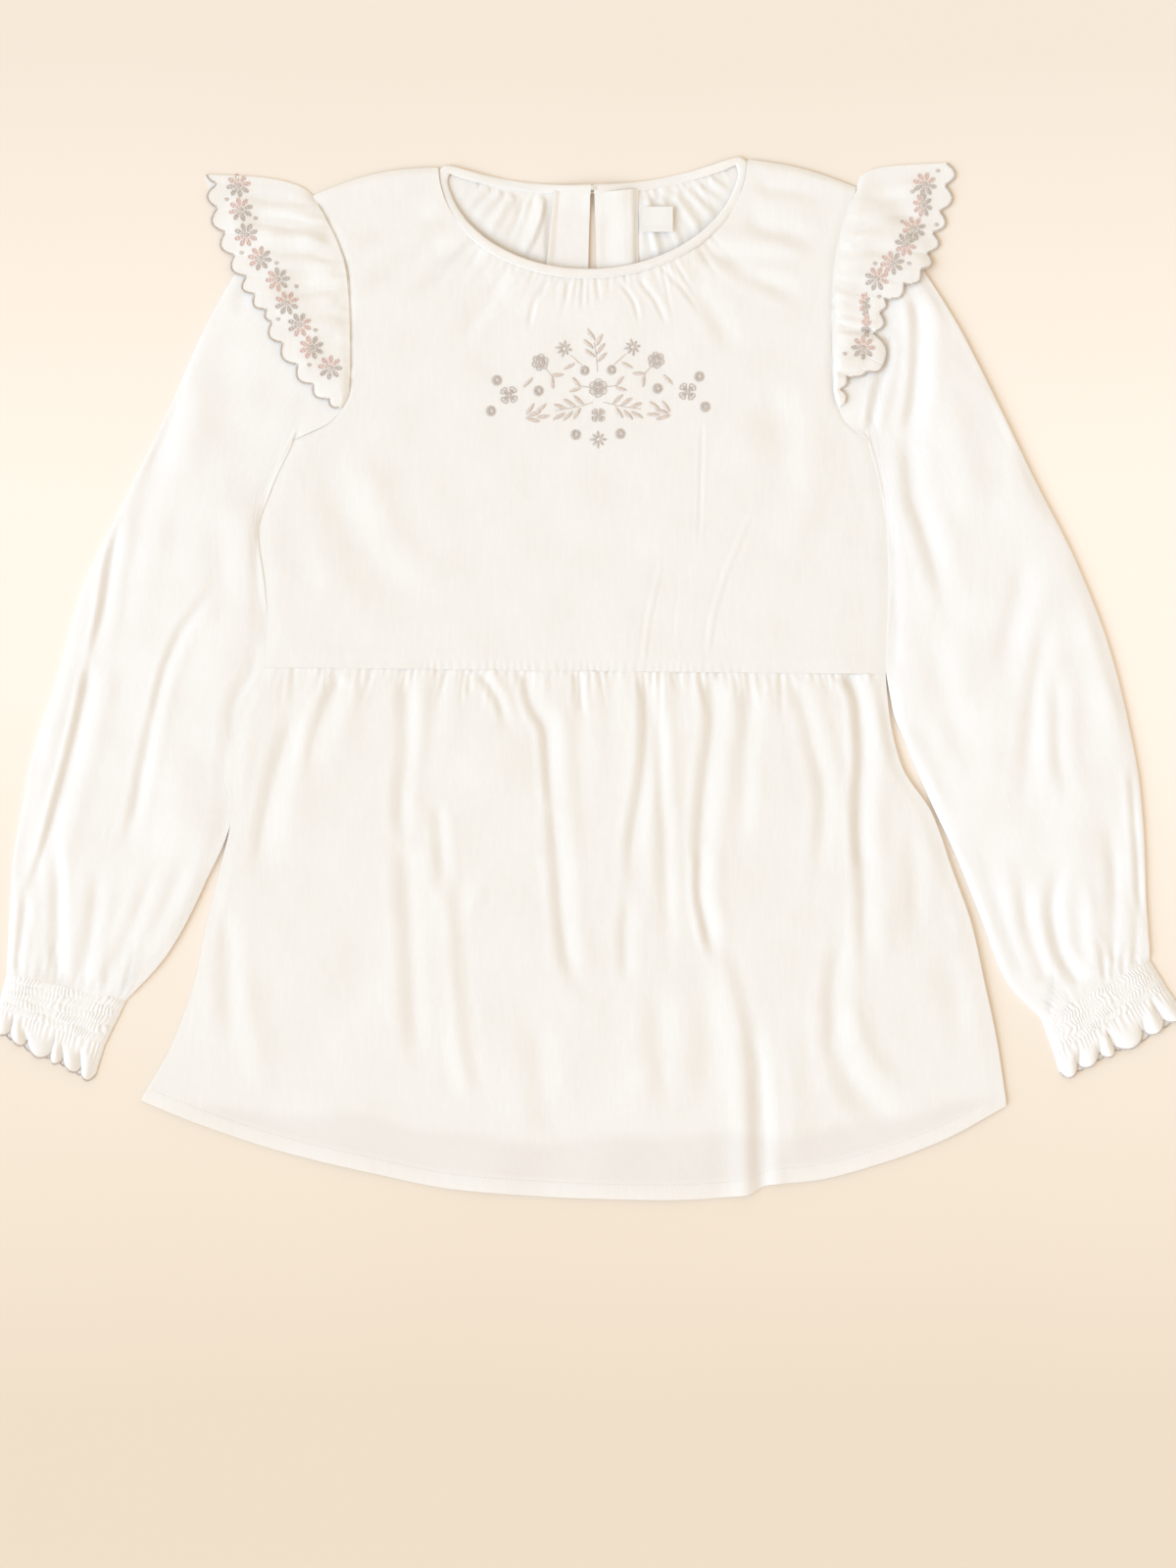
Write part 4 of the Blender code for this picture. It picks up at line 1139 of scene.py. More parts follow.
@dataclass
class Bodice:
    """The yokeless top of the blouse, front and back, from the shoulders to the seam."""

    cotton: Material
    front_rows: int = 118
    neck_columns: int = 290
    shoulder_columns: int = 34
    back_rows: int = 76
    back_half_columns: int = 104
    neck_swing: float = 11.0
    band_height: float = 10.0
    gathers: Gathers = Gathers((2.4, 6.0), (8.0, 56.0), (-0.85, -0.25), (0.9, 1.6), 0.10, 5)
    inner: Gathers = Gathers((3.0, 6.0), (8.0, 34.0), (0.4, 1.0), (1.1, 2.0), 0.08, 12)
    ripple: Ripple = Ripple(0.22, 52.0, 3)
    front_cut: Cut = Cut(0.46, 0.36, 0.142, Hold.LAID)
    back_cut: Cut = Cut(0.46, 0.36, 0.148, Hold.LAID)

    def side_points(self, side: Side, down: Array) -> Array:
        """Follow a side edge.

        Args:
            side: Which edge.
            down: Shares down it, from the shoulder to the empire seam.

        Returns:
            Plan points.
        """
        hole = ARMHOLES[side]
        end = seam_y(float(body_edge(side, SEAM_Y))) + SEAM_GAP
        y = hole.top_y + (end - hole.top_y) * down
        along = np.clip((hole.top_y - y) / (hole.top_y - hole.low_y), 0.0, 1.0)
        at_hole = armhole(side, along)[:, 0]
        return np.stack([np.where(y > hole.low_y, at_hole, body_edge(side, y)), y], axis=-1)

    def shoulder(self, side: Side, share: Array) -> Array:
        """Follow a shoulder seam.

        Args:
            side: Which shoulder.
            share: Shares along it, from the armhole at 0 to the neck at 1.

        Returns:
            Plan points.
        """
        share = share[:, None]
        line = (1 - share) * armhole(side, 0.0) + share * neck_corner(side)
        return line + np.array([0.0, SHOULDER_BOW[side]]) * np.sin(math.pi * share)

    def plan(self, across: Array, down: Array, neckline: Callable[[Array], Array]) -> Array:
        """Lay out a panel.

        Args:
            across: Shares across, the shoulders taking the first and last of them.
            down: Shares down.
            neckline: Gives the neck edge's points at shares round it.

        Returns:
            Plan points, rows by columns by 2.
        """
        right, left = across < SHOULDER_SHARE, across > 1 - SHOULDER_SHARE
        share = neck_share(across)
        top = neckline(share)
        top[share <= 0.0], top[share >= 1.0] = neck_corner(Side.RIGHT), neck_corner(Side.LEFT)
        top[right] = self.shoulder(Side.RIGHT, across[right] / SHOULDER_SHARE)
        top[left] = self.shoulder(Side.LEFT, (1 - across[left]) / SHOULDER_SHARE)
        sides = [self.side_points(side, down) for side in Side]
        x = np.interp(across, (0.0, 0.5, 1.0), (sides[0][-1][0], SLIT_X, sides[1][-1][0]))
        bottom = np.stack([x, seam_y(x) + SEAM_GAP], axis=-1)
        grid = patch(top, bottom, sides, across, down)
        from_side = np.minimum(across, 1 - across)
        past = np.maximum(from_side - SHOULDER_SHARE, 0.0)
        swing = np.minimum(from_side / SHOULDER_SHARE, np.exp(-past / 0.06))
        swing = self.neck_swing * swing * np.sign(across - 0.5)
        grid[..., 0] += swing[None] * ((1 - np.exp(-down / 0.05)) * (1 - down) ** 2)[:, None]
        return grid

    def front_neckline(self, share: Array) -> Array:
        """The front's edge under the binding, at shares from shoulder end to shoulder end."""
        return front_neck(math.pi * share, UNDER_BINDING)

    def back_neckline(self, share: Array) -> Array:
        """The back's edge under the binding, likewise."""
        place = np.clip((2 * share - 1) / BACK_SPAN, -1.0, 1.0)
        return back_neck(NECK_X + BACK_REACH * place, UNDER_BINDING)

    def columns(self) -> Array:
        """Space the front's columns, closer together round the neck than on the shoulders.

        Returns:
            Shares across.
        """
        neck = np.linspace(SHOULDER_SHARE, 1 - SHOULDER_SHARE, self.neck_columns)
        shoulder = np.linspace(0.0, SHOULDER_SHARE, self.shoulder_columns)[:-1]
        return np.concatenate([shoulder, neck, 1 - shoulder[::-1]])

    def front_heights(self, plan: Array, across: Array, down: Array) -> Array:
        """Shape the front panel.

        Args:
            plan: Its plan points.
            across: Its shares across.
            down: Its shares down.

        Returns:
            Heights of its middle.
        """
        u, v = np.meshgrid(across, down)
        x, y = plan[..., 0], plan[..., 1]
        beside = np.minimum(u, 1 - u)
        ends = [self.shoulder(side, even(12)) for side in Side]
        ridge = np.concatenate([ends[0], ends[1][::-1]])
        below = np.interp(x, ridge[:, 0], ridge[:, 1]) - y
        from_top = 0.75 * ease(below, -2.5, 4.0) + 0.25 * ease(below, 0.0, 55.0)
        rise = BODICE_RISE * side_profile(beside, 400.0) * from_top
        rise = np.maximum(rise, (neck_height(neck_share(u)) - FRONT) * (1 - ease(v, 0.0, 0.36)))
        neck = front_neck(np.linspace(0.62, math.pi - 0.62, 200), BINDING_WIDTH - 1.0)
        fine = self.gathers.folds(neck, unit(neck - np.array([NECK_X, NECK_Y + 40.0])))
        folds = (*NECK_PLEATS, *SHOULDER_DRAPES, *CHEST_DRAPES, *CHEST_CREASES, *DARTS, *fine)
        soft = ease(beside, 0.0, 0.05) * ease(below, 0.0, 12.0)
        rise = rise + relief(folds, x, y) * ease(beside, -0.01, 0.02)
        rise = rise + self.ripple.at(x, y) * soft
        above_seam = y - seam_y(x)
        rise = rise + 0.22 * bell(above_seam - self.band_height, 1.3) * soft
        pucker = np.sin(2 * math.pi * x / 5.3 + 2.1 * np.sin(x / 9.0))
        rise = rise + 0.16 * pucker * bell(above_seam - 2.0, 2.6)
        return never_below(FRONT + rise, FRONT)

    def build_front(self) -> Object:
        """Make the front panel.

        Returns:
            The piece.
        """
        across = self.columns()
        down = 0.55 * crowded(self.front_rows, 1.35) + 0.45 * even(self.front_rows)
        plan = self.plan(across, down, self.front_neckline)
        points = rimmed(solid_points(plan, self.front_heights(plan, across, down)), FRONT)
        return Cloth("front_bodice", points, self.cotton, self.front_cut).make()

    def back_lift(self, x: Array, y: Array) -> Array:
        """Find what the gathers and their fullness add to the back inside the neck.

        Args:
            x: Plan places across.
            y: Plan places up.

        Returns:
            Heights to add.
        """
        neck_x = np.linspace(-88.0, 90.0, 200)
        ways = unit(np.stack([neck_x / 95.0, -np.ones(200)], axis=-1))
        fine = self.inner.folds(back_neck(neck_x, BINDING_WIDTH), ways)
        puff = 1.5 * ease(BACK_NECK_Y - y, 4.0, 20.0) * bell(np.maximum(0, 285 - y), 40.0)
        puff = puff * ease(NECK_CORNER - np.abs(x - NECK_X), 12.0, 38.0)
        clear = ease(np.abs(x - SLIT_X), FACING_HALF - 2.0, FACING_HALF + 3.0)
        off_middle = ((x - NECK_X) / NECK_HALF) ** 2 + ((NECK_Y - y) / NECK_DEPTH) ** 2
        lifted = puff + relief((*INNER_FOLDS, *fine), x, y)
        return lifted * clear * (1 - ease(off_middle, 0.8, 1.04))

    def build_back(self) -> Object:
        """Make the back panel, with its slit and its gathers inside the neck.

        Returns:
            The piece.
        """
        shoulder = np.linspace(0.0, SHOULDER_SHARE, 20)[:-1]
        neck = np.linspace(SHOULDER_SHARE, 0.4999, self.back_half_columns)
        half = np.concatenate([shoulder, neck])
        across = np.concatenate([half, 1 - half[::-1]])
        plan = self.plan(across, crowded(self.back_rows, 1.5), self.back_neckline)
        plan[..., 0], missing = open_slit(plan[..., 0], plan[..., 1], len(half) - 1)
        x, y = plan[..., 0], plan[..., 1]
        heights = never_below(back_height(x, y) + self.back_lift(x, y), REST, 0.1)
        points = solid_points(plan, heights)
        return Cloth("back_bodice", points, self.cotton, self.back_cut, missing=missing).make()

    def build(self) -> list[Object]:
        """Make both panels."""
        return [self.build_front(), self.build_back()]


# --- Skirt ---

SKIRT_FOLDS = table(
    Fold,
    ((-166, 2, -178, -20, -188, -55, -190, -75), -2.1, 7.2, 4.1, 0.1, 0.4),
    ((-196, -20, -210, -60, -219, -98, -226, -138), -2.2, 8.4, 4.8, 0.2, 0.3),
    ((-184, -70, -196, -110, -200, -170), 0.7, 9.6, 9.6, 0.3, 0.5),
    ((-123, 2, -123, -44, -127, -82, -125, -124), -1.6, 4.8, 4.8, 0.1, 0.3),
    ((-125, -110, -121, -170, -118, -235, -116, -270), -1.9, 7.2, 6, 0.1, 0.3),
    ((-104, -80, -100, -120, -99, -150), -1.2, 4.1, 4.1),
    ((-100, -120, -95, -180, -90, -240, -79, -296), 1.3, 5.2, 5.8, 0.2, 0.2),
    ((-82, 3, -82, -14), -1, 2.2, 2.2, 0.02), ((-74, 3, -61, -17, -56, -38), -1.3, 3.1, 2.6, 0.05),
    ((-45, 5, -40, -17, -30, -36, -27, -75, -23, -105), -2.1, 6, 3.1, 0.05, 0.3),
    ((-26, -85, -22, -125, -19, -165, -13, -194, 2, -209), -2, 6, 4.1, 0.1, 0.25),
    ((-29, -112, -50, -124, -70, -139, -86, -168), 0.9, 3.4, 3.4, 0.1, 0.3),
    ((27, -140, 23, -175, 24, -210), -1.3, 5, 3.6, 0.3, 0.3), ((-8, 3, -6, -30), -1, 2.4, 2.9, 0.05),
    ((36, 3, 38, -36, 34, -75, 28, -113, 27, -151), -2.3, 7.2, 3.8, 0.08, 0.35),
    ((45, 2, 47, -55, 49, -94, 51, -151, 52, -180, 51, -212), -1.5, 4.1, 5),
    ((40, -20, 42, -60, 41, -110), 0.8, 3.1, 3.1),
    ((79, 2, 82, -28, 79, -55, 75, -94, 73, -132), -2.4, 6, 4.1, 0.08, 0.2),
    ((74, -110, 73, -140, 77, -165, 84, -190), -2.7, 5.5, 2.9, 0.2, 0.25),
    ((82, -168, 92, -205, 101, -247, 104, -300, 106, -360), 1.4, 5, 8.4, 0.2, 0.02),
    ((78, -200, 79, -245, 74, -288, 62, -322), -1, 8.4, 9.6, 0.3, 0.5),
    ((107, -2, 104, -55, 102, -94, 97, -135), -1.5, 5.3, 5.3, 0.1, 0.5),
    ((138, 2, 150, -45, 157, -79, 155, -113, 146, -155), -1.7, 6, 4.8, 0.1, 0.4),
    ((172, 4, 180, -17, 182, -55, 180, -94, 182, -132), -3.5, 6.5, 3.6, 0.05, 0.15),
    ((181, -110, 184, -150, 184, -175, 180, -205), -2.2, 6.5, 4.3, 0.15, 0.4),
    ((216, -100, 218, -140, 217, -180), -1.3, 6, 6),
    ((172, -165, 163, -215, 163, -245, 170, -265), -2.1, 6.5, 5.5, 0.3, 0.2),
    ((166, -252, 174, -270, 189, -287, 210, -296), -1.8, 6, 7.4, 0.2, 0.4),
    ((176, -212, 181, -240, 193, -263, 216, -279), 1.3, 6, 6, 0.3, 0.3),
    ((108, -215, 113, -262, 115, -304, 116, -362), -2.4, 5, 6.6, 0.45, 0.02),
    ((128, -220, 134, -270, 134, -330), 1, 8.4, 7.2, 0.4, 0.2),
    ((-246, -150, -243, -193, -243, -255), -1.3, 6, 6),
    ((-232, -190, -226, -240, -220, -290), 0.9, 8.4, 7.2),
    ((-150, -150, -156, -200, -160, -260), -0.6, 10.8, 10.8),
    ((-38, -222, -33, -270, -29, -312), -1.2, 8.4, 8.4, 0.3, 0.3),
    ((44, -200, 47, -250, 52, -300), -1.3, 8.4, 7.2, 0.3, 0.3),
    ((8, -180, 14, -230, 12, -300), -0.6, 10.8, 10.8),
    ((234, -180, 246, -220, 250, -260), -0.9, 8.4, 8.4),
)
SKIRT_CREASES = table(
    Fold,
    ((-28, -103, -55, -117, -75, -136, -88, -162), 0.5, 2.9, 3.8, 0.2, 0.3, 0.6),
    ((-21, -176, -15, -201, -2, -209, 8, -199), -0.6, 4.8, 4.8, 0.2, 0.3),
    ((-200, -285, -150, -296, -100, -292), 0.4, 6, 7.2, 0.3, 0.3),
    ((120, -160, 150, -172, 176, -168), 0.4, 7.2, 7.2), ((30, -270, 50, -262, 70, -270), 0.4, 7.2, 7.2),
)


@dataclass
class Skirt:
    """The flared skirt, gathered on to the empire seam, its front hem below the back's."""

    cotton: Material
    columns: int = 400
    rows: int = 108
    crowd: float = 1.45
    back_columns: int = 100
    back_rows: int = 40
    gathers: Gathers = Gathers((2.6, 6.4), (6.0, 44.0), (-1.1, -0.3), (1.0, 2.0), 0.09, 21)
    drapes: Gathers = Gathers((17.0, 30.0), (70.0, 240.0), (-1.1, -0.3), (5.0, 9.0), 0.07, 8)
    ripple: Ripple = Ripple(0.3, 58.0, 9)
    front_cut: Cut = Cut(0.62, 0.36, 0.186, Hold.GATHERED)
    back_cut: Cut = Cut(0.62, 0.33, 0.168, Hold.GATHERED)

    def plan(self, hem: str, across: Array, down: Array) -> Array:
        """Lay out a panel down to its own hem.

        Args:
            hem: The column of the hem's table.
            across: Shares across.
            down: Shares down.

        Returns:
            Plan points, rows by columns by 2.
        """
        sides = []
        for side, row in ((Side.RIGHT, HEM[0]), (Side.LEFT, HEM[-1])):
            start = seam_y(float(body_edge(side, SEAM_Y))) - SEAM_GAP
            y = start + (getattr(row, hem) - start) * down
            sides.append(np.stack([body_edge(side, y), y], axis=-1))
        x = np.interp(across, (0.0, 1.0), (sides[0][0, 0], sides[1][0, 0]))
        top = np.stack([x, seam_y(x) - SEAM_GAP], axis=-1)
        x = np.interp(across, (0.0, 1.0), (sides[0][-1, 0], sides[1][-1, 0]))
        low = np.stack([x, read(HEM, "x", hem, x)], axis=-1)
        low[0], low[-1] = sides[0][-1], sides[1][-1]
        return patch(top, low, sides, across, down)

    def front_heights(self, plan: Array, across: Array, down: Array) -> Array:
        """Shape the front panel.

        Args:
            plan: Its plan points.
            across: Its shares across.
            down: Its shares down.

        Returns:
            Heights of its middle.
        """
        u, v = np.meshgrid(across, down)
        x, y = plan[..., 0], plan[..., 1]
        beside = np.minimum(u, 1 - u)
        full = BODICE_RISE + (SKIRT_RISE - BODICE_RISE) * ease(v, 0.0, 0.08)
        rise = full * side_profile(beside, 440.0) * (1 - 0.6 * ease(v, 0.6, 1.0))
        seam_x = np.linspace(-214.0, 192.0, 200)
        seam = np.stack([seam_x, seam_y(seam_x)], axis=-1)
        ways = np.stack([seam_x / 900.0, -np.ones(200)], axis=-1)
        fine = (*self.gathers.folds(seam, ways), *self.drapes.folds(seam, ways))
        folds = (*SKIRT_FOLDS, *SKIRT_CREASES, *fine)
        rise = rise + relief(folds, x, y) * ease(beside, -0.01, 0.03)
        rise = rise + self.ripple.at(x, y) * ease(beside, 0.0, 0.03) * ease(v, 0.0, 0.2)
        above_hem = y - read(HEM, "x", "front_y", x)
        rise = rise + 0.22 * (1 - ease(above_hem, HEM_BAND - 0.6, HEM_BAND + 0.6))
        return never_below(FRONT + rise, FRONT)

    def add_sheer(self, mesh: Mesh) -> None:
        """Paint see-through shade where the front lies over the floor alone: where the back ends above
        it, less in its hem.

        Args:
            mesh: The front's mesh.
        """
        x, y = vertices_of(mesh)[:, :2].T / MM
        uneven = 3.0 * np.sin(x / 31.0) + 2.0 * np.sin(x / 13.0 + 1.0)
        below_back = ease(read(HEM, "x", "back_y", x) + uneven - y, -5.0, 5.0)
        in_hem = 1 - ease(y - read(HEM, "x", "front_y", x), HEM_BAND - 1, HEM_BAND + 1)
        # painted see-through shade: full where only the floor lies below, less in the doubled hem
        values = below_back * (1 - 0.75 * in_hem)
        mesh.attributes.new("sheer", "FLOAT", "POINT").data.foreach_set("value", values)

    def build(self) -> list[Object]:
        """Make both panels.

        Returns:
            The front and the back.
        """
        across, down = even(self.columns), crowded(self.rows, self.crowd)
        plan = self.plan("front_y", across, down)
        points = rimmed(solid_points(plan, self.front_heights(plan, across, down)), FRONT)
        front = Cloth("front_skirt", points, self.cotton, self.front_cut).make()
        self.add_sheer(front.data)
        across, down = even(self.back_columns), even(self.back_rows)
        plan = self.plan("back_y", across, down)
        lift = 0.12 * (1 + np.sin(plan[..., 0] / 9.0 + plan[..., 1] / 60.0))
        points = solid_points(plan, REST + lift)
        return [front, Cloth("back_skirt", points, self.cotton, self.back_cut).make()]


# --- Sleeves, cuffs and frills ---


class SleeveRow(NamedTuple):
    """One section across a flattened sleeve, from its outer edge to its inner edge."""

    outer_x: float
    outer_y: float
    inner_x: float
    inner_y: float
    bow: float
    puff: float


SLEEVES = {
    Side.RIGHT: table(
        SleeveRow,
        (-186.9, 324.4, -199.9, 160.1, 35, 0.9),
        (-213, 301, -203.2, 157.3, 16, 1.4),
        (-240, 270, -217.2, 127, 10, 2),
        (-262, 230, -225.2, 107, 7, 2.8),
        (-285, 178, -225.5, 84, 3, 3.6),
        (-313, 121, -221.6, 58, 0, 4),
        (-341, 62, -221.6, 22, 0, 4.2),
        (-358, 2, -239.8, -26, 0, 4.2),
        (-373, -44, -243, -72, 0, 4.2),
        (-383, -91, -248, -106, 0, 4.2),
        (-389, -130, -263, -145, 0, 4.2),
        (-391, -165, -286, -187, 0, 4),
        (-393, -199, -313, -217, 0, 3.4),
    ),
    Side.LEFT: table(
        SleeveRow,
        (178.4, 329.9, 186.9, 160.1, -22, 0.9),
        (203, 305, 190, 157.3, -12, 1.4),
        (226, 270, 198, 124, -9, 2),
        (246, 238, 202, 104, -4, 2.8),
        (274, 183, 203.2, 80, 0, 3.6),
        (298, 133, 203, 50, 0, 4),
        (325, 80, 201, 14, 0, 4.2),
        (348, 21, 202.6, -18, 0, 4.2),
        (361, -30, 213, -46, 0, 4.2),
        (369, -75, 229, -84, 0, 4.2),
        (372, -115, 245, -118, 0, 4.2),
        (373, -148, 262, -160, 0, 4),
        (374.5, -170, 279.5, -203.5, 0, 3.8),
        (376, -190, 303, -229, 0, 3.4),
    ),
}
SLEEVE_FOLDS = {
    Side.RIGHT: table(
        Fold,
        ((-318, 116, -320, 97, -324, 74, -328, 47, -332, 28, -337, 1), -3.2, 5, 2.2),
        ((-336, 12, -345, -32, -357, -78, -373, -131, -388, -158), -3.6, 7, 2.4, 0.1),
        ((-250, 61, -266, 44, -279, 24, -289, -5, -296, -38), -2, 4, 2.6, 0.2, 0.2),
        ((-293, -20, -302, -65, -307, -91, -316, -122), -1.8, 4.4, 3, 0.2, 0.4),
        ((-272, 219, -292, 149, -312, 67, -322, 27, -330, -13), -1.9, 8, 7),
        ((-252, 200, -268, 150, -280, 96), 0.9, 9, 9), ((-228, 8, -236, -30, -243, -76), -1.5, 6, 6),
        ((-236, 244, -233, 268), -1.2, 5, 5),
        ((-360, -100, -358, -150, -358, -199), -2, 4, 4, 0.3, 0.05),
        ((-379, -140, -382, -170, -386, -200), -2, 3.4, 3, 0.3, 0.05),
        ((-330, -120, -334, -160, -342, -204), -1.6, 4.4, 4.4, 0.4, 0.05),
        ((-290, -120, -306, -165, -326, -206), -1.5, 5, 4.4, 0.4, 0.05),
        ((-262, -100, -284, -150, -312, -200), -1.2, 5, 5, 0.4, 0.2),
        ((-256, 120, -248, 70, -250, 20), -0.9, 8, 8), ((-345, 20, -362, -40, -374, -90), 0.9, 5, 5),
    ),
    Side.LEFT: table(
        Fold,
        ((216, 262, 220, 232, 218, 193, 211, 160), -3.2, 6, 3.4, 0.15, 0.2),
        ((213, 172, 216, 127, 228, 88, 242, 32), -2.4, 7, 5, 0.2, 0.4),
        ((199, 232, 196, 206, 191, 186, 187, 162), -2.6, 3.2, 2.6, 0.1, 0.2),
        ((296, 80, 284, 37, 274, -6), -1.7, 7, 6), ((309, 50, 299, -3, 294, -53, 288, -98), -1.7, 6, 5),
        ((312, 12, 314, -50, 324, -92), -1.6, 5, 4.4),
        ((320, -120, 310, -152, 314, -180, 330, -208), -2.2, 4.4, 4, 0.3, 0.1),
        ((364, -55, 368, -110, 372, -166), -2.2, 3, 3, 0.2, 0.2),
        ((348, -90, 352, -140, 350, -190), -1.6, 4.4, 4.4, 0.4, 0.05),
        ((290, -120, 292, -160, 306, -204), -1.6, 4.6, 4.6, 0.4, 0.05),
        ((262, -110, 276, -160, 296, -208), -1.2, 5, 5, 0.4, 0.2),
        ((334, -130, 336, -165, 338, -200), 1.2, 4, 4, 0.4, 0.05),
        ((238, 210, 250, 150, 268, 90), 0.9, 10, 10), ((226, 40, 238, -10, 252, -60), -1, 8, 8),
        ((328, 60, 344, 0, 354, -50), 0.9, 7, 7), ((218, -20, 234, -60, 250, -100), -0.9, 6, 6),
    ),
}
CUFF_LOW = {
    Side.RIGHT: ((-399.0, -221.0), (-327.5, -247.0)),
    Side.LEFT: ((387.0, -208.0), (311.5, -252.0)),
}
FRILL_LOW = {
    Side.RIGHT: ((-402.0, -235.5), (-334.5, -270.0)),
    Side.LEFT: ((400.0, -226.0), (316.5, -268.5)),
}
LEAVES_BODY = {Side.RIGHT: 9.2, Side.LEFT: 6.6}  # row at which a sleeve parts from the body


def flat_ring(line: Array, floor: float, heights: Array, under: int) -> Array:
    """One ring of a flattened tube: its line below from outer to inner, then back above.

    Args:
        line: Plan points along the upper side, from outer to inner.
        floor: Middle of the lower side.
        heights: Middles of the upper side, one for each point.
        under: How many of the points the lower side keeps.

    Returns:
        The ring's points.
    """
    picked = np.rint(np.linspace(0, len(line) - 1, under)).astype(int)
    lower = solid_points(line[picked], np.full(under, floor))
    return np.concatenate([lower, solid_points(line, heights)[::-1]])


@dataclass
class Sleeve:
    """A full sleeve with its shirred cuff and its frill."""

    side: Side
    cotton: Material
    edging: Material
    rings: int = 124
    upper: int = 120
    under: int = 26
    round_off: float = 8.0
    body_gap: float = -0.6
    cuff_columns: int = 170
    cuff_rings: int = 42
    shirring_rows: int = 4
    pucker: float = 0.8
    pucker_pitch: float = 2.7
    frill_columns: int = 150
    frill_rings: int = 34
    frill_under: int = 90
    tongues: int = 6
    tongue_depth: float = 7.0
    seed: int = 31
    sleeve_cut: Cut = Cut(0.42, 0.58, 0.152, Hold.LAID)
    cuff_cut: Cut = Cut(0.18, 0.031, None, Hold.GATHERED)
    frill_cut: Cut = Cut(0.18, 0.024, None, Hold.GATHERED)

    def section(self, number: float, at: Array) -> tuple[Array, float, Array]:
        """Read one section across the sleeve.

        Args:
            number: Its place down the table of sections.
            at: Shares across, from outer to inner.

        Returns:
            The plan points, the lower side's middle, and the upper side's rise.
        """
        rows = np.array(SLEEVES[self.side])
        row = SleeveRow(*(float(smooth(range(len(rows)), column, number)) for column in rows.T))
        start = np.array([row.outer_x, row.outer_y])
        end = np.array([row.inner_x, row.inner_y])
        beside_body = float(body_edge(self.side, end[1])) + self.side.value * self.body_gap
        leaves = LEAVES_BODY[self.side]
        touching = float(ease(number, 0.4, 1.2) * (1 - ease(number, leaves - 0.8, leaves + 0.6)))
        end[0] += (beside_body - end[0]) * touching
        line = start + (end - start) * at[:, None]
        at_hole = 1 - float(ease(number, 0.0, 1.2))
        shape = at_hole * read(ARMHOLE_BOW, "along", "share", at)
        line[:, 0] += row.bow * (shape + (1 - at_hole) * np.sin(math.pi * at))
        line[:, 0] += self.side.value * self.body_gap * at_hole
        floor = REST + LAYER * (1 - float(ease(number, 4.5, 6.0)))
        beside = np.minimum(at, 1 - at) * np.hypot(*(end - start))
        rounded = 0.45 + 0.55 * (1 - np.exp(-beside / self.round_off))
        sides = (SIDE_RISE * SKIRT_RISE, SIDE_RISE * BODICE_RISE)
        on_seam = float(np.interp(end[1], (-25.0, SEAM_Y), sides))
        from_body = (1 - at) * np.hypot(*(end - start))
        at_body = touching * (1 - ease(from_body, 0.0, 16.0))
        at_body = np.maximum(at_body, at_hole * ease(at, 0.0, 0.08))
        return line, floor, row.puff * rounded * (1 - at_body) + on_seam * at_body

    def cuff_gathers(self) -> list[Fold]:
        """Draw the folds that run up the sleeve from the cuff.

        Returns:
            The longer ones, then the shorter ones.
        """
        outer, inner = self.cuff_ends()
        seam = outer + (inner - outer) * np.linspace(0.03, 0.97, 60)[:, None]
        ways = np.broadcast_to(np.array([-0.05 * self.side.value, 1.0]), seam.shape)
        fine = Gathers((3.2, 7.0), (12.0, 62.0), (-1.6, -0.5), (1.3, 2.4), 0.14, self.seed)
        finer = Gathers((2.2, 4.0), (5.0, 17.0), (-1.2, -0.4), (0.9, 1.3), 0.14, self.seed + 3)
        return fine.folds(seam, ways) + finer.folds(seam, ways)

    def build_sleeve(self) -> Object:
        """Make the sleeve, from the armhole to the cuff.

        Returns:
            The piece.
        """
        at = even(self.upper)
        at = 0.45 * (0.5 - 0.5 * np.cos(math.pi * at)) + 0.55 * at
        numbers = np.linspace(0.0, len(SLEEVES[self.side]) - 1, self.rings)
        sections = [self.section(n, np.maximum(at, 0.04 * (1 - n))) for n in numbers]
        plan, floors, rise = (np.array(part) for part in zip(*sections))
        x, y = plan[..., 0], plan[..., 1]
        bend = relief((*SLEEVE_FOLDS[self.side], *self.cuff_gathers()), x, y)
        bend = bend + Ripple(0.4, 48.0, self.seed).at(x, y)
        beside = np.minimum(at, 1 - at)
        lowest = floors[:, None] + LAYER
        tops = never_below(lowest + (rise + bend * ease(beside, 0.0, 0.06)), 0.0, 0.3)
        tops = np.maximum(tops, lowest)
        wide = np.hypot(*(plan[-1, -1] - plan[-1, 0]))
        meets = FRONT + 3.6 * (1 - np.exp(-beside * wide / 6.0))
        join = ease(numbers, numbers[-1] - 0.2, numbers[-1])[:, None]
        tops = tops + (meets - tops) * join
        rings = np.array([flat_ring(*ring, self.under) for ring in zip(plan, floors, tops)])
        name = f"sleeve_{self.side.word}"
        return Cloth(name, rings, self.cotton, self.sleeve_cut, closed=True).make()

    def cuff_ends(self) -> Array:
        """The outer and inner points of the cuff's top edge."""
        return np.array(SLEEVES[self.side][-1][:4]).reshape(2, 2)

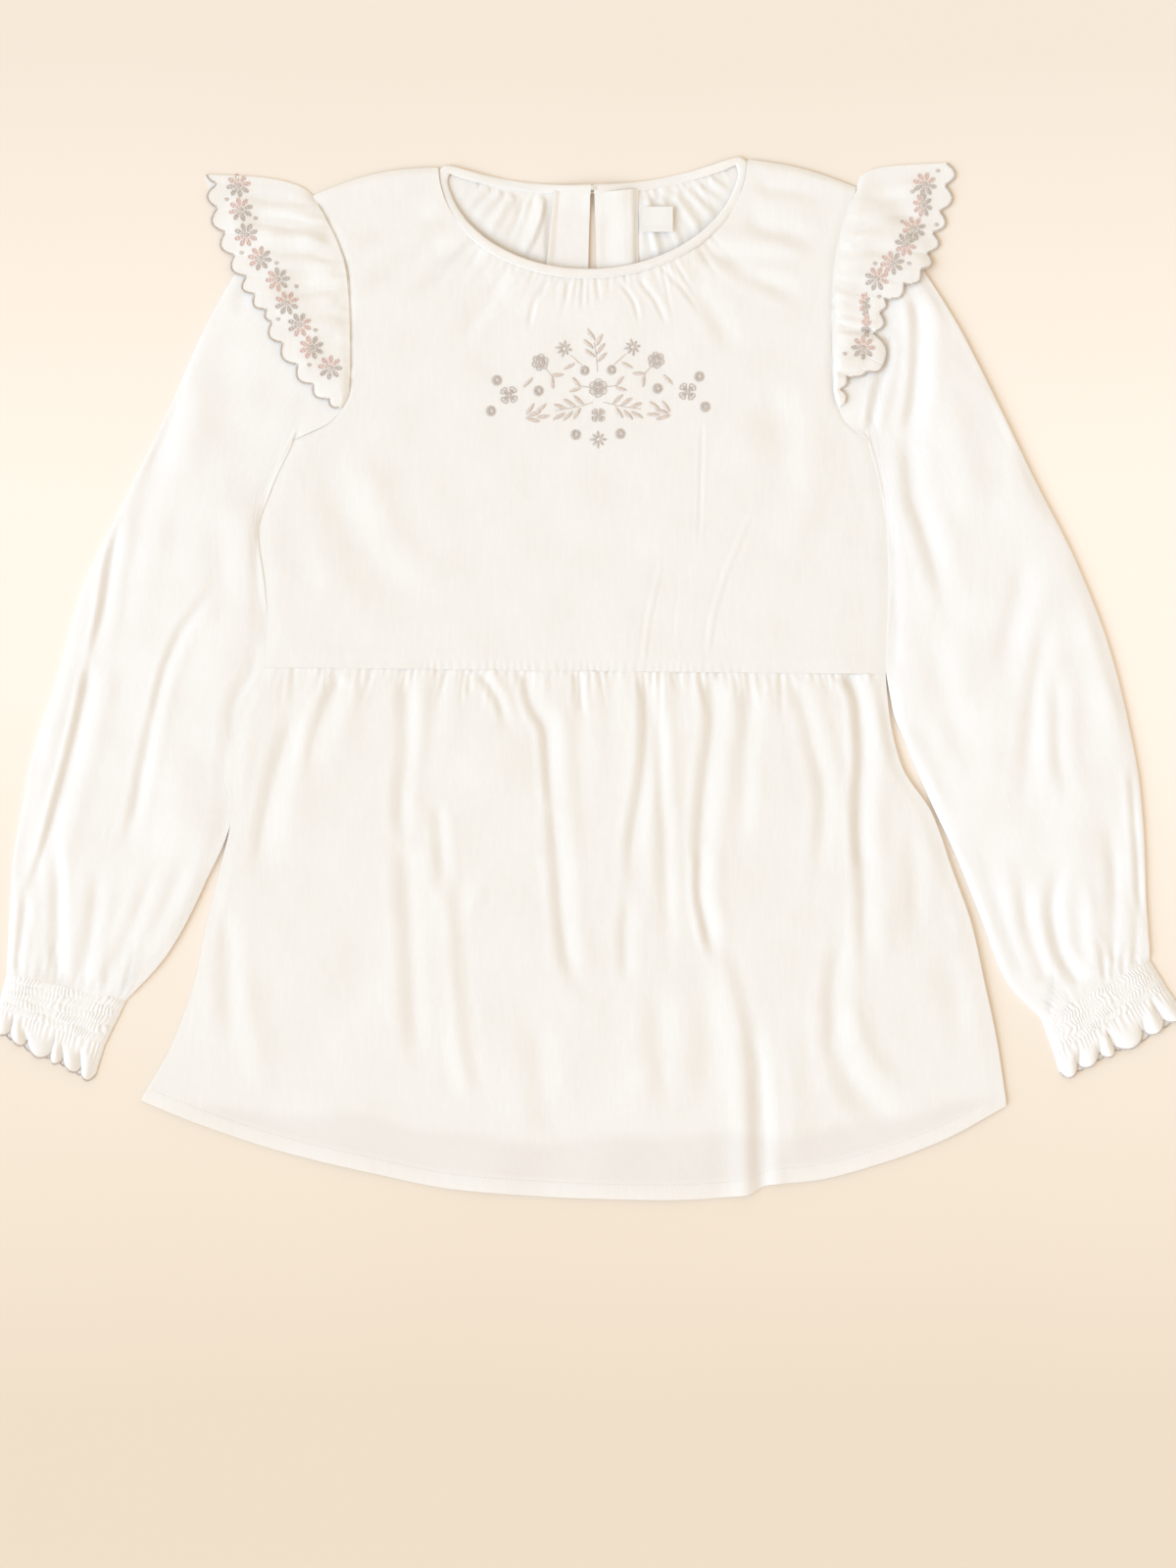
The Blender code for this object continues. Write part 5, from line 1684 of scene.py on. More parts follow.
    def build_cuff(self) -> Object:
        """Make the cuff: rows of elastic thread with small puckers between them.

        Returns:
            The piece.
        """
        at = even(self.cuff_columns)
        (o0, i0), (o1, i1) = self.cuff_ends(), np.array(CUFF_LOW[self.side])
        first, last = o0 + (i0 - o0) * at[:, None], o1 + (i1 - o1) * at[:, None]
        width = np.hypot(*(i1 - o1))
        across, beside = at * width, np.minimum(at, 1 - at) * width
        chance = np.random.default_rng(self.seed + 1)
        rings = []
        for share in even(self.cuff_rings):
            line = first + (last - first) * (share * 1.012 - 0.006)
            row = min(int(share * (self.shirring_rows + 1)), self.shirring_rows)
            phase = np.random.default_rng(self.seed + 7 * row).uniform(0, 2 * math.pi, 4)
            wander = 1.6 * np.sin(across / 6.3 + phase[0]) + 0.9 * np.sin(across / 2.9 + phase[1])
            wander = wander + 1.2 * np.sin(9.0 * share + across / 8.0 + phase[3])
            hump = 0.5 + 0.5 * np.sin(2 * math.pi * (across + wander) / self.pucker_pitch)
            size = 0.6 + 0.4 * np.sin(across / 4.1 + phase[2])
            waved = share + 0.03 * np.sin(across / 3.3 + phase[1]) + 0.02 * np.sin(across / 9.0)
            between = 0.6 + 0.4 * np.abs(np.sin(math.pi * (self.shirring_rows + 1) * waved))
            body = 3.2 * (1 - np.exp(-beside / 6.0)) + 0.3 * between
            tops = REST + LAYER + body + self.pucker * hump * size * between * ease(beside, 0, 5)
            tops = tops + chance.normal(0.0, 0.04, len(at))
            rings.append(flat_ring(line, REST, np.maximum(tops, REST + LAYER), self.under))
        name = f"cuff_{self.side.word}"
        return Cloth(name, np.array(rings), self.cotton, self.cuff_cut, closed=True).make()

    def frill_layers(self) -> list[Array]:
        """Shape the frill, whose tongues are uneven in width, reach and lean.

        Returns:
            Points of its lower and upper sides, each rows by columns by 3.
        """
        chance = np.random.default_rng(self.seed + 2)
        steps = chance.uniform(0.5, 1.6, self.tongues).cumsum()
        marks = np.append(0.0, steps / steps[-1])
        lean, reaches, starts = chance.uniform(0.0, 1.0, (3, len(marks)))
        lean = (0.5 - lean) * np.sin(math.pi * marks) / self.tongues
        at, down = even(self.frill_columns), even(self.frill_rings)[:, None]
        (o0, i0), (o1, i1) = np.array(CUFF_LOW[self.side]), np.array(FRILL_LOW[self.side])
        first, last = o0 + (i0 - o0) * at[:, None], o1 + (i1 - o1) * at[:, None]
        beside = np.minimum(at, 1 - at) * np.hypot(*(i1 - o1))
        fine = np.sin(2 * math.pi * beside / 3.6 + 3.0 * np.sin(beside / 4.0 + self.seed))
        sides = []
        for offset, over in ((0.5 / self.tongues, 0.0), (0.0, 1.0)):
            place = np.clip(at + offset, 0.0, 1.0)
            begins = 0.5 * np.interp(place, marks, starts)
            leant = place + np.interp(place, marks, lean) * 2.4 * (1 - down)
            tongue = np.abs(np.sin(math.pi * np.interp(leant, marks, np.arange(len(marks)))))
            heights = REST + 0.35 * tongue * down
            if over:
                grown = ease(down, begins - 0.1, begins + 0.4)
                body = 3.0 * (1 - np.exp(-beside / 5.0)) * (1 - 0.3 * down)
                top = FRONT + body + 1.3 * tongue * grown
                top = top - 2.6 * (1 - tongue**0.6) * grown * ease(beside, 0.0, 5.0)
                top = top + 0.28 * fine * (1 - ease(down, 0.1, 0.6)) * ease(beside, 0.0, 4.0)
                heights = np.maximum(top, FRONT)
            long = 0.75 + 0.5 * np.interp(place, marks, reaches)
            reach = self.tongue_depth * (long * tongue[-1] ** 0.6 - 0.6 + 0.1 * over)
            lip = last + unit(last - first) * reach[:, None]
            sides.append(solid_points(first + (lip - first) * down[..., None], heights))
        return sides

    def build_frill(self) -> list[Object]:
        """Make the frill, and the close stitches round its tongues.

        Returns:
            The cloth and its edging.
        """
        lower, upper = self.frill_layers()
        picked = np.rint(np.linspace(0, lower.shape[1] - 1, self.frill_under)).astype(int)
        rings = np.concatenate([lower[:, picked], upper[:, ::-1]], axis=1)
        name = f"cuff_frill_{self.side.word}"
        cloth = Cloth(name, rings, self.cotton, self.frill_cut, closed=True, slot="edged_cotton")
        made = cloth.make()
        edge = Threads(f"{name}_edging", self.edging, 0.34, 4, 3)
        for side in (lower, upper):
            add_edging(edge, side[-1], side[-4], 0.62, 1.1)
        return [made, edge.build("edged_cotton")]

    def build(self) -> list[Object]:
        """Make the sleeve, the cuff and the frill."""
        return [self.build_sleeve(), self.build_cuff(), *self.build_frill()]


def add_edging(threads: Threads, edge: Array, inner: Array, pitch: float, length: float) -> None:
    """Cover an edge with close stitches square to it.

    Args:
        threads: Where the stitches go.
        edge: Points along the edge.
        inner: Points of the cloth a little inside it, one for each.
        pitch: From one stitch to the next, in mm.
        length: How far each stitch reaches in from the edge, in mm.
    """
    run = run_of(edge)
    places = np.arange(pitch / 2, run[-1], pitch)
    outer, within = on_line(edge, run, places), on_line(inner, run, places)
    way = on_line(edge, run, places + 0.3) - on_line(edge, run, places - 0.3)
    square = np.stack([-way[:, 1], way[:, 0]], axis=-1)
    inwards = (within - outer)[:, :2]
    square = square * np.sign((square * inwards).sum(axis=1))[:, None]
    square = square / (np.linalg.norm(square, axis=1)[:, None] + 1e-9)
    slope = (within - outer)[:, 2] / (np.linalg.norm(inwards, axis=1) + 1e-9)
    lift = WALL / 2 + 0.1
    start = outer + solid_points(-0.25 * square, np.full(len(places), lift - 0.15))
    end = outer + solid_points(length * square, lift + np.clip(slope, -1, 1) * length)
    threads.add(start, end, 0.25)


# --- Shoulder ruffles ---


class CuspRow(NamedTuple):
    """A cusp of a ruffle's edge, and how far the scallop after it bulges."""

    along: float
    x: float
    y: float
    bulge: float


class DaisyRow(NamedTuple):
    """A daisy on a ruffle: its place, its turn in degrees and how narrow it looks."""

    x: float
    y: float
    turn: float
    narrow: float = 1.0


class DotRow(NamedTuple):
    """A small stitched dot on a ruffle."""

    x: float
    y: float


CUSPS = {
    Side.RIGHT: table(
        CuspRow,
        (0, -260, 338, 0.3), (0.03, -253.4, 332, 5.8), (0.115, -252.6, 316, 5.8),
        (0.2, -247.5, 299.6, 5.8), (0.285, -240.9, 284, 5.8), (0.37, -232.6, 269.3, 5.4),
        (0.445, -227, 257, 4.6), (0.51, -219, 247, 2.4), (0.57, -215.6, 238.4, 5.4),
        (0.66, -208, 224.4, 5.4), (0.755, -198, 209.9, 5.4), (0.85, -187.6, 197, 4.8),
        (0.94, -177, 187.4, 2.4), (1, -170, 180.5, 0),
    ),
    Side.LEFT: table(
        CuspRow,
        (0, 240.2, 346.6, 5.8), (0.075, 239, 331.3, 6), (0.16, 235.6, 314, 6),
        (0.235, 230.4, 299.4, 5.8), (0.3, 226.6, 285.8, 5.4), (0.36, 222, 273.6, 5.4),
        (0.42, 210.6, 264.8, 6), (0.48, 197.4, 254.8, 2.6), (0.535, 194.4, 245, 5),
        (0.605, 190, 231.5, 5), (0.7, 197, 209.5, 2.4), (0.775, 186, 205, 2.2),
        (0.85, 172.5, 202.5, 1.8), (0.925, 168, 193.5, 2), (1, 171.4, 184.6, 0),
    ),
}
DAISIES = {
    Side.RIGHT: table(
        DaisyRow,
        (-237.4, 331.5, 10), (-235.8, 315, 60), (-232.1, 297.7, 200), (-222.6, 281.6, 80),
        (-210.5, 267.3, 140), (-204.3, 251.5, 20), (-195.7, 236.7, 250), (-187.8, 221.6, 110),
        (-175.4, 208.3, 40),
    ),
    Side.LEFT: table(
        DaisyRow,
        (224.3, 332.2, 30), (222.9, 317.9, 120, 0.8), (216.9, 302, 60), (211.1, 291, 210, 0.9),
        (202, 278.5, 100), (191.7, 267.8, 340), (183.6, 250.8, 75, 0.45), (184.6, 236, 20, 0.4),
        (182.6, 221.6, 0),
    ),
}
SMALL_DOTS = {
    Side.RIGHT: table(
        DotRow,
        (-245.3, 322), (-226, 309.3), (-234.9, 285.7), (-211.2, 278.4), (-198.2, 262.9),
        (-210.2, 240.8), (-185, 233.2), (-189.4, 209.9),
    ),
    Side.LEFT: table(
        DotRow,
        (216, 327), (233.3, 341.3), (232.2, 304.9), (208.8, 306.7), (190.5, 278.1), (213.3, 278.1),
        (193.3, 255.8), (170.1, 217.3),
    ),
}
RUFFLE_FOLDS = {
    Side.RIGHT: table(
        Fold,
        ((-186, 318, -214, 322, -246, 326), -1.5, 4, 5, 0.1, 0.5),
        ((-180, 304, -206, 306, -238, 308), -1.7, 4, 5, 0.1, 0.4),
        ((-176, 292, -200, 296, -226, 296), 1.1, 4, 4, 0.1, 0.5),
        ((-173, 284, -198, 286, -224, 286), -1.8, 3.4, 4.4, 0.1, 0.4),
        ((-170, 262, -192, 260, -214, 254), -1.6, 3.4, 4.4, 0.1, 0.4),
        ((-169, 246, -188, 243, -206, 236), -1, 3.4, 4, 0.1, 0.5),
        ((-168, 228, -184, 222, -198, 214), -0.9, 3.4, 4, 0.1, 0.5),
    ),
    Side.LEFT: table(
        Fold,
        ((180, 318, 204, 322, 232, 326), -1.4, 4, 5, 0.1, 0.5),
        ((174, 300, 198, 310, 224, 314), -1.8, 4, 3.4, 0.1, 0.4),
        ((170, 290, 188, 297, 206, 300), 1.1, 3.4, 3.4, 0.1, 0.5),
        ((167, 284, 186, 288, 212, 286), -1.6, 4, 3.4, 0.1, 0.5),
        ((164, 262, 182, 262, 200, 262), -1, 4, 4, 0.1, 0.5),
        ((164, 236, 176, 234, 190, 232), -2, 2.6, 2.2, 0.2, 0.02),
        ((163, 212, 174, 212, 188, 214), 1, 4, 4, 0.2, 0.4),
    ),
}


def settled(heights: Array, rows: int, columns: int) -> Array:
    """Drape one sheet over the heights of another: their local tops, softened.

    Args:
        heights: What lies below, rows by columns.
        rows: How many rows to each side count as near.
        columns: How many columns to each side count as near.

    Returns:
        Smooth heights that clear what lies below.
    """
    for share in (np.max, np.mean, np.mean):
        padded = np.pad(heights, ((rows, rows), (columns, columns)), "edge")
        shape = (2 * rows + 1, 2 * columns + 1)
        windows = np.lib.stride_tricks.sliding_window_view(padded, shape)
        heights = share(windows, axis=(2, 3))
    return heights


@dataclass
class Ruffle:
    """A scalloped, embroidered ruffle set into the armhole and folded over the shoulder."""

    side: Side
    cotton: Material
    edging: Material
    pink: Material
    taupe: Material
    over: Sequence[Object]
    rows: int = 370
    columns: int = 30
    hidden_rows: int = 10
    notch: float = 0.9
    lift: float = 1.2
    daisy: float = 16.4
    dot: float = 2.6
    gathers: Gathers = Gathers((4.0, 9.0), (10.0, 42.0), (-0.9, 0.8), (1.6, 3.0), 0.10, 17)
    ripple: Ripple = Ripple(0.3, 30.0, 77)
    cut: Cut = Cut(0.56, 0.075, 0.0185, Hold.GATHERED)

    @property
    def name(self) -> str:
        """The ruffle's own name, which its pieces' names start with."""
        return f"shoulder_ruffle_{self.side.word}"

    def seam(self, along: Array) -> Array:
        """Plan points on the armhole beside the ruffle."""
        return armhole(self.side, RUFFLE_END * along) + np.array([self.side.value * 0.25, 0.1])

    def edge(self, along: Array, scalloped: bool) -> Array:
        """Follow the ruffle's edge.

        Args:
            along: Shares along it.
            scalloped: Whether its scallops show, or only the line through its cusps.

        Returns:
            Plan points.
        """
        knots, x, y, bulge = np.array(CUSPS[self.side]).T
        cusps = np.stack([x, y], axis=-1)
        i = np.clip(np.searchsorted(knots, along, side="right") - 1, 0, len(knots) - 2)
        share = ((along - knots[i]) / (knots[i + 1] - knots[i]))[:, None]
        chord = cusps[i + 1] - cusps[i]
        out = unit(np.stack([chord[:, 1], -chord[:, 0]], axis=-1) * -self.side.value)
        deep = bulge[i][:, None] + self.notch
        round_out = np.sin(math.pi * np.clip(share, 0, 1)) ** 0.8
        return cusps[i] + chord * share + out * (deep * round_out - self.notch) * scalloped

    def plan(self, along: Array, share: Array, scalloped: bool) -> Array:
        """Lay out the ruffle.

        Args:
            along: Shares along it.
            share: Shares from the seam to the edge.
            scalloped: Whether its scallops show.

        Returns:
            Plan points, rows by columns by 2.
        """
        seam, edge = self.seam(along), self.edge(along, scalloped)
        points = seam[:, None] + (edge - seam)[:, None] * share[None, :, None]
        peak, high = (0.62, 6.0) if self.side is Side.RIGHT else (0.45, 9.0)
        bow = np.sin(math.pi * share**peak) * high
        points[..., 1] += bow[None] * (np.clip(1 - along / 0.12, 0, 1) ** 2)[:, None]
        return points

    def upper_side(self, along: Array, share: Array) -> Array:
        """Shape the part that shows, over what it lies on.

        Args:
            along: Shares along it.
            share: Shares from the seam to the edge.

        Returns:
            Points, rows by columns by 3.
        """
        plan = self.plan(along, share, True)
        x, y = plan[..., 0], plan[..., 1]
        below = Surface(*self.over).on(plan)[..., 2]
        base = np.maximum(settled(below + WALL / 2, 7, 2), 0.0) + LAYER
        base = np.maximum(base, FRONT)
        seam = self.seam(along)
        fine = self.gathers.folds(seam, unit(self.edge(along, False) - seam))
        bend = relief((*RUFFLE_FOLDS[self.side], *fine), x, y) + self.ripple.at(x, y)
        u, v = np.meshgrid(share, along)
        body = self.lift * ease(u, 0.0, 0.3) * ease(v, 0.0, 0.08) * (1 - 0.5 * ease(u, 0.75, 1))
        calm = 1 - 0.5 * ease(u, 0.8, 1.0)
        top = base + never_below((body + bend * calm) * ease(v, 0.0, 0.05), 0.0, 0.2)
        return solid_points(plan, top - 0.6 * (1 - ease(u, 0.0, 0.12)))

    def build(self) -> list[Object]:
        """Make the ruffle, its edging and its row of daisies.

        Returns:
            The cloth, then its threads.
        """
        share = 1 - crowded(self.columns, 1.2)[::-1]
        front = self.upper_side(even(self.rows), share)
        back = self.plan(even(self.hidden_rows)[::-1], share, False)
        points = np.concatenate([solid_points(back, np.full(back.shape[:2], REST)), front])
        if self.side is Side.RIGHT:
            points = points[:, ::-1]
        cloth = Cloth(self.name, points, self.cotton, self.cut, slot="edged_cotton").make()
        edging = Threads(f"{self.name}_edging", self.edging, 0.36, 4, 3)
        add_edging(edging, front[:, -1], front[:, -3], 0.75, 1.3)
        pink = Threads(f"{self.name}_pink_thread", self.pink, 0.48)
        taupe = Threads(f"{self.name}_taupe_thread", self.taupe, 0.48)
        top = Surface(cloth)
        for row in DAISIES[self.side]:
            self.add_daisy(pink, taupe, top, row)
        for place in SMALL_DOTS[self.side]:
            for stitch in filled_dot(self.dot):
                taupe.add(*top.on(np.array(stitch) + place), 0.3)
        return [cloth, *(threads.build("edged_cotton") for threads in (edging, pink, taupe))]

    def add_daisy(self, pink: Threads, taupe: Threads, top: Surface, row: DaisyRow) -> None:
        """Stitch one daisy, half its looped petals in each colour.

        Args:
            pink: Threads of one colour.
            taupe: Threads of the other, which also fill the middle.
            top: The cloth that it is stitched on.
            row: Where it is, and how it is turned.
        """
        petals = np.array(turned(looped(self.daisy, 8, 0.15, 1), row.turn))
        middle = np.array(filled_dot(0.2 * self.daisy))
        half = len(petals) // 2
        parts = ((pink, petals[:half], 0.12), (taupe, petals[half:], 0.12), (taupe, middle, 0.3))
        for threads, stitches, lift in parts:
            laid = top.on(stitches * (row.narrow, 1.0) + (row.x, row.y), 0.12)
            threads.add(laid[:, 0], laid[:, 1], lift)


# --- Neck binding, facing, label and closure ---


@dataclass
class Neckline:
    """What finishes the neck: binding, facing round the slit, label, button and loop."""

    cotton: Material
    tape: Material
    shell: Material
    thread: Material
    rings: int = 430
    ring_points: int = 14
    thick: float = 1.5
    facing_rows: int = 46
    facing_half_columns: int = 24
    facing_length: float = 112.0
    facing_slant: float = 5.0
    ripple: Ripple = Ripple(0.18, 26.0, 14)
    label_x: float = 44.5
    label_y: float = 308.0
    label_width: float = 21.0
    label_height: float = 17.0
    binding_cut: Cut = Cut(0.010, 0.46, None, Hold.STRETCHED)
    facing_cut: Cut = Cut(0.062, 0.114, None, Hold.LAID)
    label_cut: Cut = Cut(0.021, 0.017, None, Hold.LAID)

    def binding_edges(self) -> Array:
        """Follow the binding from one side of the slit, round the neck, to the other.

        Returns:
            Pairs of outer and inner edge points.
        """
        halves = []
        for side in (Side.LEFT, Side.RIGHT):
            places = SLIT_X + side.value * np.linspace(SLIT_TOP / 2, NECK_HALF - 10.0, 14)
            reach = np.abs(places - SLIT_X)
            lift = BUTTON_LIFT * bell(reach, LIFT_ACROSS) + 1.4 * ease(reach, 55.0, 88.0)
            edges = [back_neck(places, below) for below in (0.0, BINDING_WIDTH)]
            back = [solid_points(edge, self.thick / 2 + lift) for edge in edges]
            inner = back_neck(NECK_X + side.value * BACK_REACH, BINDING_WIDTH)
            spoke = np.radians((72.0, 38.0, 6.0))
            way = np.stack([side.value * np.cos(spoke), np.sin(spoke)], axis=-1)
            outer = solid_points(inner + CORNER_REACH * way, np.full(3, 1.7))
            inner = solid_points(inner + 0.6 * way, np.full(3, 2.1))
            pairs = [np.stack(back, axis=1), np.stack([outer, inner], axis=1)]
            halves.append(np.concatenate(pairs))
        turns = np.linspace(math.pi, 0.0, 25)[1:-1]
        height = neck_height(turns / math.pi) + 0.75
        front = [solid_points(front_neck(turns, out), height) for out in (BINDING_WIDTH, 0.0)]
        return np.concatenate([halves[0], np.stack(front, axis=1), halves[1][::-1]])

    def build_binding(self) -> Object:
        """Make the binding: a soft flat tube round the neck, closed at its two ends.

        Returns:
            The piece.
        """
        pairs = self.binding_edges()
        run = run_of(pairs.mean(axis=1))
        at = np.linspace(0.0, run[-1], self.rings)
        outer, inner = (
            np.stack([smooth(run, column, at) for column in edge.T], axis=-1)
            for edge in (pairs[:, 0], pairs[:, 1])
        )
        turn = np.linspace(0.0, 2 * math.pi, self.ring_points, endpoint=False)
        across = np.sign(np.cos(turn)) * np.abs(np.cos(turn)) ** 0.8
        lift = np.sin(turn) * self.thick / 2
        puff = 1 + 0.10 * np.sin(at / 3.1 + 1.7 * np.sin(at / 11.0))
        half = (outer - inner) / 2
        rings = (outer + inner)[:, None] / 2 + half[:, None] * across[None, :, None]
        rings[..., 2] += lift[None] * puff[:, None]
        mesh = grid_mesh("neck_binding_cloth", rings, closed=True, missing=None)
        capped = bmesh.new()
        capped.from_mesh(mesh)
        bmesh.ops.holes_fill(capped, edges=[e for e in capped.edges if e.is_boundary], sides=0)
        bmesh.ops.recalc_face_normals(capped, faces=capped.faces[:])
        capped.to_mesh(mesh)
        capped.free()
        piece = add_piece(mesh, self.cotton, "neck_binding")
        self.binding_cut.declare(piece)
        return piece

    def build_facing(self) -> Object:
        """Make the facing: a strip round the slit, its side edges standing a little.

        Returns:
            The piece.
        """
        half = np.append(np.linspace(0.0, 0.98, self.facing_half_columns), 0.9999) - 1.0
        u, v = np.meshgrid(np.concatenate([half, -half[::-1]]), even(self.facing_rows))
        x = SLIT_X + u * FACING_HALF
        y = back_neck(x, UNDER_BINDING)[..., 1] - v * self.facing_length
        x, missing = open_slit(x, y, len(half) - 1, 0.1)
        x = x + self.facing_slant * ease(-u, 0.5, 1.0) * np.clip(1 - v / 0.45, 0.0, 1.0)
        stands = np.where(u < 0, 1.4 * ease(-u, 0.8, 1.0), 2.2 * ease(u, 0.2, 0.7))
        stands = stands * (1 - ease(u, 0.84, 0.99)) * ease(y, 264.0, 284.0)
        height = back_height(x, y) + LAYER + 0.3 + stands
        height = height + self.ripple.at(x, y) * ease(np.abs(u), 0.02, 0.2)
        points = np.stack([x, y, height], axis=-1)
        return Cloth("keyhole_facing", points, self.cotton, self.facing_cut, missing=missing).make()

    def build_label(self) -> Object:
        """Make the bare label, a little curled at its free end.

        Returns:
            The piece.
        """
        u, v = np.meshgrid(np.linspace(-0.5, 0.5, 24), np.linspace(0.5, -0.5, 20))
        x, y = self.label_x + u * self.label_width, self.label_y + v * self.label_height
        height = back_height(x, y) + 4.4 + 0.5 * ease(-v, 0.2, 0.5) + 0.15 * np.sin(6 * u)
        points = np.stack([x, y, height], axis=-1)
        tape = Cloth("neck_label", points, self.tape, self.label_cut, wall=0.35)
        return replace(tape, slot="label_tape", stuff="tape").make()

    def build_closure(self, binding: Object) -> Object:
        """Make the thread bars that draw the slit's top together.

        Args:
            binding: The binding that they cross.

        Returns:
            The piece.
        """
        bars = Threads("slit_closure_thread", self.thread, 0.38)
        top = Surface(binding)
        for below in (1.6, 2.6, 3.6):
            ends = back_neck(np.array([SLIT_X - 2.4, SLIT_X + 3.2]), below)
            bars.add(*top.on(ends, 0.05), 0.5)
        return bars.build("thread")

    def build(self) -> list[Object]:
        """Make every piece, and dress the button and its loop.

        Returns:
            The pieces, the binding first.
        """
        for node, finish in (("back_button", self.shell), ("button_loop", self.thread)):
            for slot in bpy.data.objects[node].material_slots:
                slot.material = finish
        binding = self.build_binding()
        return [binding, self.build_facing(), self.build_label(), self.build_closure(binding)]


# --- Embroidery on the chest ---


class MotifRow(NamedTuple):
    """A figure: its place from the middle, its size, and the way it points in degrees.

    paired says that it is stitched on both sides of the middle.
    """

    kind: Motif
    x: float
    y: float
    size: float
    turn: float
    paired: bool = True


class StemRow(NamedTuple):
    """A stem: its two ends, and whether it is stitched on both sides of the middle."""

    start_x: float
    start_y: float
    end_x: float
    end_y: float
    paired: bool = True


MOTIFS = table(
    MotifRow,
    (Motif.ROSETTE, 0, 0, 12.6, 90, False), (Motif.LEAF, -4.6, 36, 9.3, 122, False),
    (Motif.LEAF, 0.8, 32.4, 8.7, 60, False), (Motif.LEAF, -6.4, 29.8, 8.7, 135, False),
    (Motif.LEAF, 1.8, 26.6, 8.7, 50, False), (Motif.LEAF, -5.4, 23.6, 8.4, 140, False),
    (Motif.LEAF, 2.8, 20.8, 8.1, 42, False), (Motif.STAR, 23, 27, 12, 10), (Motif.DOT, 9, 12, 7, 0),
    (Motif.LEAF, 19.4, 15, 8.1, 330), (Motif.ROSETTE, 39, 18, 11.2, 40),
    (Motif.LEAF, 27.4, 9.4, 8.4, 175), (Motif.LEAF, 30.6, 4.4, 8.4, 262),
    (Motif.LEAF, 47, 4.8, 8.7, 132), (Motif.LEAF, 14.6, 4.4, 7.9, 48),
    (Motif.LEAF, 15.4, -0.8, 7.9, 340), (Motif.CLOVER, 60, -3.5, 12.6, 40),
    (Motif.DOT, 68, 6.5, 7.6, 0), (Motif.DOT, 72, -14, 7.6, 0), (Motif.DOT, 40, -1, 7.6, 0),
    (Motif.DOT, 15, -31, 7.6, 0), (Motif.LEAF, 13.3, -7.6, 8.9, 38), (Motif.LEAF, 19.2, -9.4, 8.9, 30),
    (Motif.LEAF, 25.4, -12, 8.9, 18), (Motif.LEAF, 14.2, -16.8, 8.9, 300),
    (Motif.LEAF, 20.2, -18.2, 8.9, 312), (Motif.LEAF, 26.2, -18.4, 8.9, 328),
    (Motif.LEAF, 43.4, -20.6, 8.9, 190), (Motif.LEAF, 42.8, -16.4, 9.3, 158),
    (Motif.LEAF, 45.6, -13, 8.9, 124), (Motif.LEAF, 38, -12.4, 8.4, 140),
    (Motif.LEAF, 37, -18.4, 8.4, 172), (Motif.CLOVER, 0, -18.2, 10, 45, False),
    (Motif.STAR, 0, -34.6, 12.2, 0, False),
)
STEMS = table(
    StemRow,
    (-0.4, 11, -1, 20, False), (-1, 20, -2.6, 31, False), (18.6, 22.6, 10.6, 15.4),
    (35.6, 14.2, 30.8, 8.4), (5.6, 0.6, 12, 1.6), (3.4, -9.4, 12.4, -12), (12.4, -12, 29, -14.8),
    (49, -19.4, 40, -15.6),
)

Stitch = tuple[Array, Array]


def turned(stitches: Sequence[Stitch], degrees: float) -> list[Stitch]:
    """Turn stitches about their middle.

    Args:
        stitches: The stitches.
        degrees: How far, anticlockwise.

    Returns:
        The turned stitches.
    """
    angle = math.radians(degrees)
    spin = np.array([[math.cos(angle), math.sin(angle)], [-math.sin(angle), math.cos(angle)]])
    return [(start @ spin, end @ spin) for start, end in stitches]


def filled_leaf(size: float) -> list[Stitch]:
    """Fill a leaf along X with slanted satin stitches.

    Args:
        size: Its length.

    Returns:
        The stitches.
    """
    stitches = []
    for share in np.arange(0.5, size / SATIN) / (size / SATIN):
        half = 0.15 * size * math.sin(math.pi * share) ** 0.7
        middle, slant = size * (share - 0.5), 0.7 * half + 0.2
        stitches.append((np.array([middle - slant, -half]), np.array([middle + slant, half])))
    return stitches


def filled_dot(size: float) -> list[Stitch]:
    """Fill a round dot with satin stitches.

    Args:
        size: Its width.

    Returns:
        The stitches.
    """
    stitches, count = [], max(3, round(size / SATIN))
    for share in (np.arange(count) + 0.5) / count:
        x = size * (share - 0.5)
        half = math.sqrt(size**2 / 4 - x**2)
        stitches.append((np.array([x, -half]), np.array([x, half])))
    return stitches


def wheel(size: float) -> list[Stitch]:
    """A round dot of spokes about a small open middle."""
    spoke = [(np.array([0.08 * size, 0.0]), np.array([0.5 * size, 0.0]))]
    return [stitch for n in range(16) for stitch in turned(spoke, 360.0 * n / 16)]


def star(size: float) -> list[Stitch]:
    """Lay eight narrow petals of three stitches each, every second one shorter.

    Args:
        size: The flower's width.

    Returns:
        The stitches.
    """
    petals = []
    for number in range(8):
        tip = (0.5 - 0.06 * (number % 2)) * size
        petal = [
            (np.array([0.08 * size, side * 0.15]), np.array([tip - 0.8 * abs(side), side * 0.5]))
            for side in (-1.0, 0.0, 1.0)
        ]
        petals += turned(petal, 45.0 * number)
    return petals


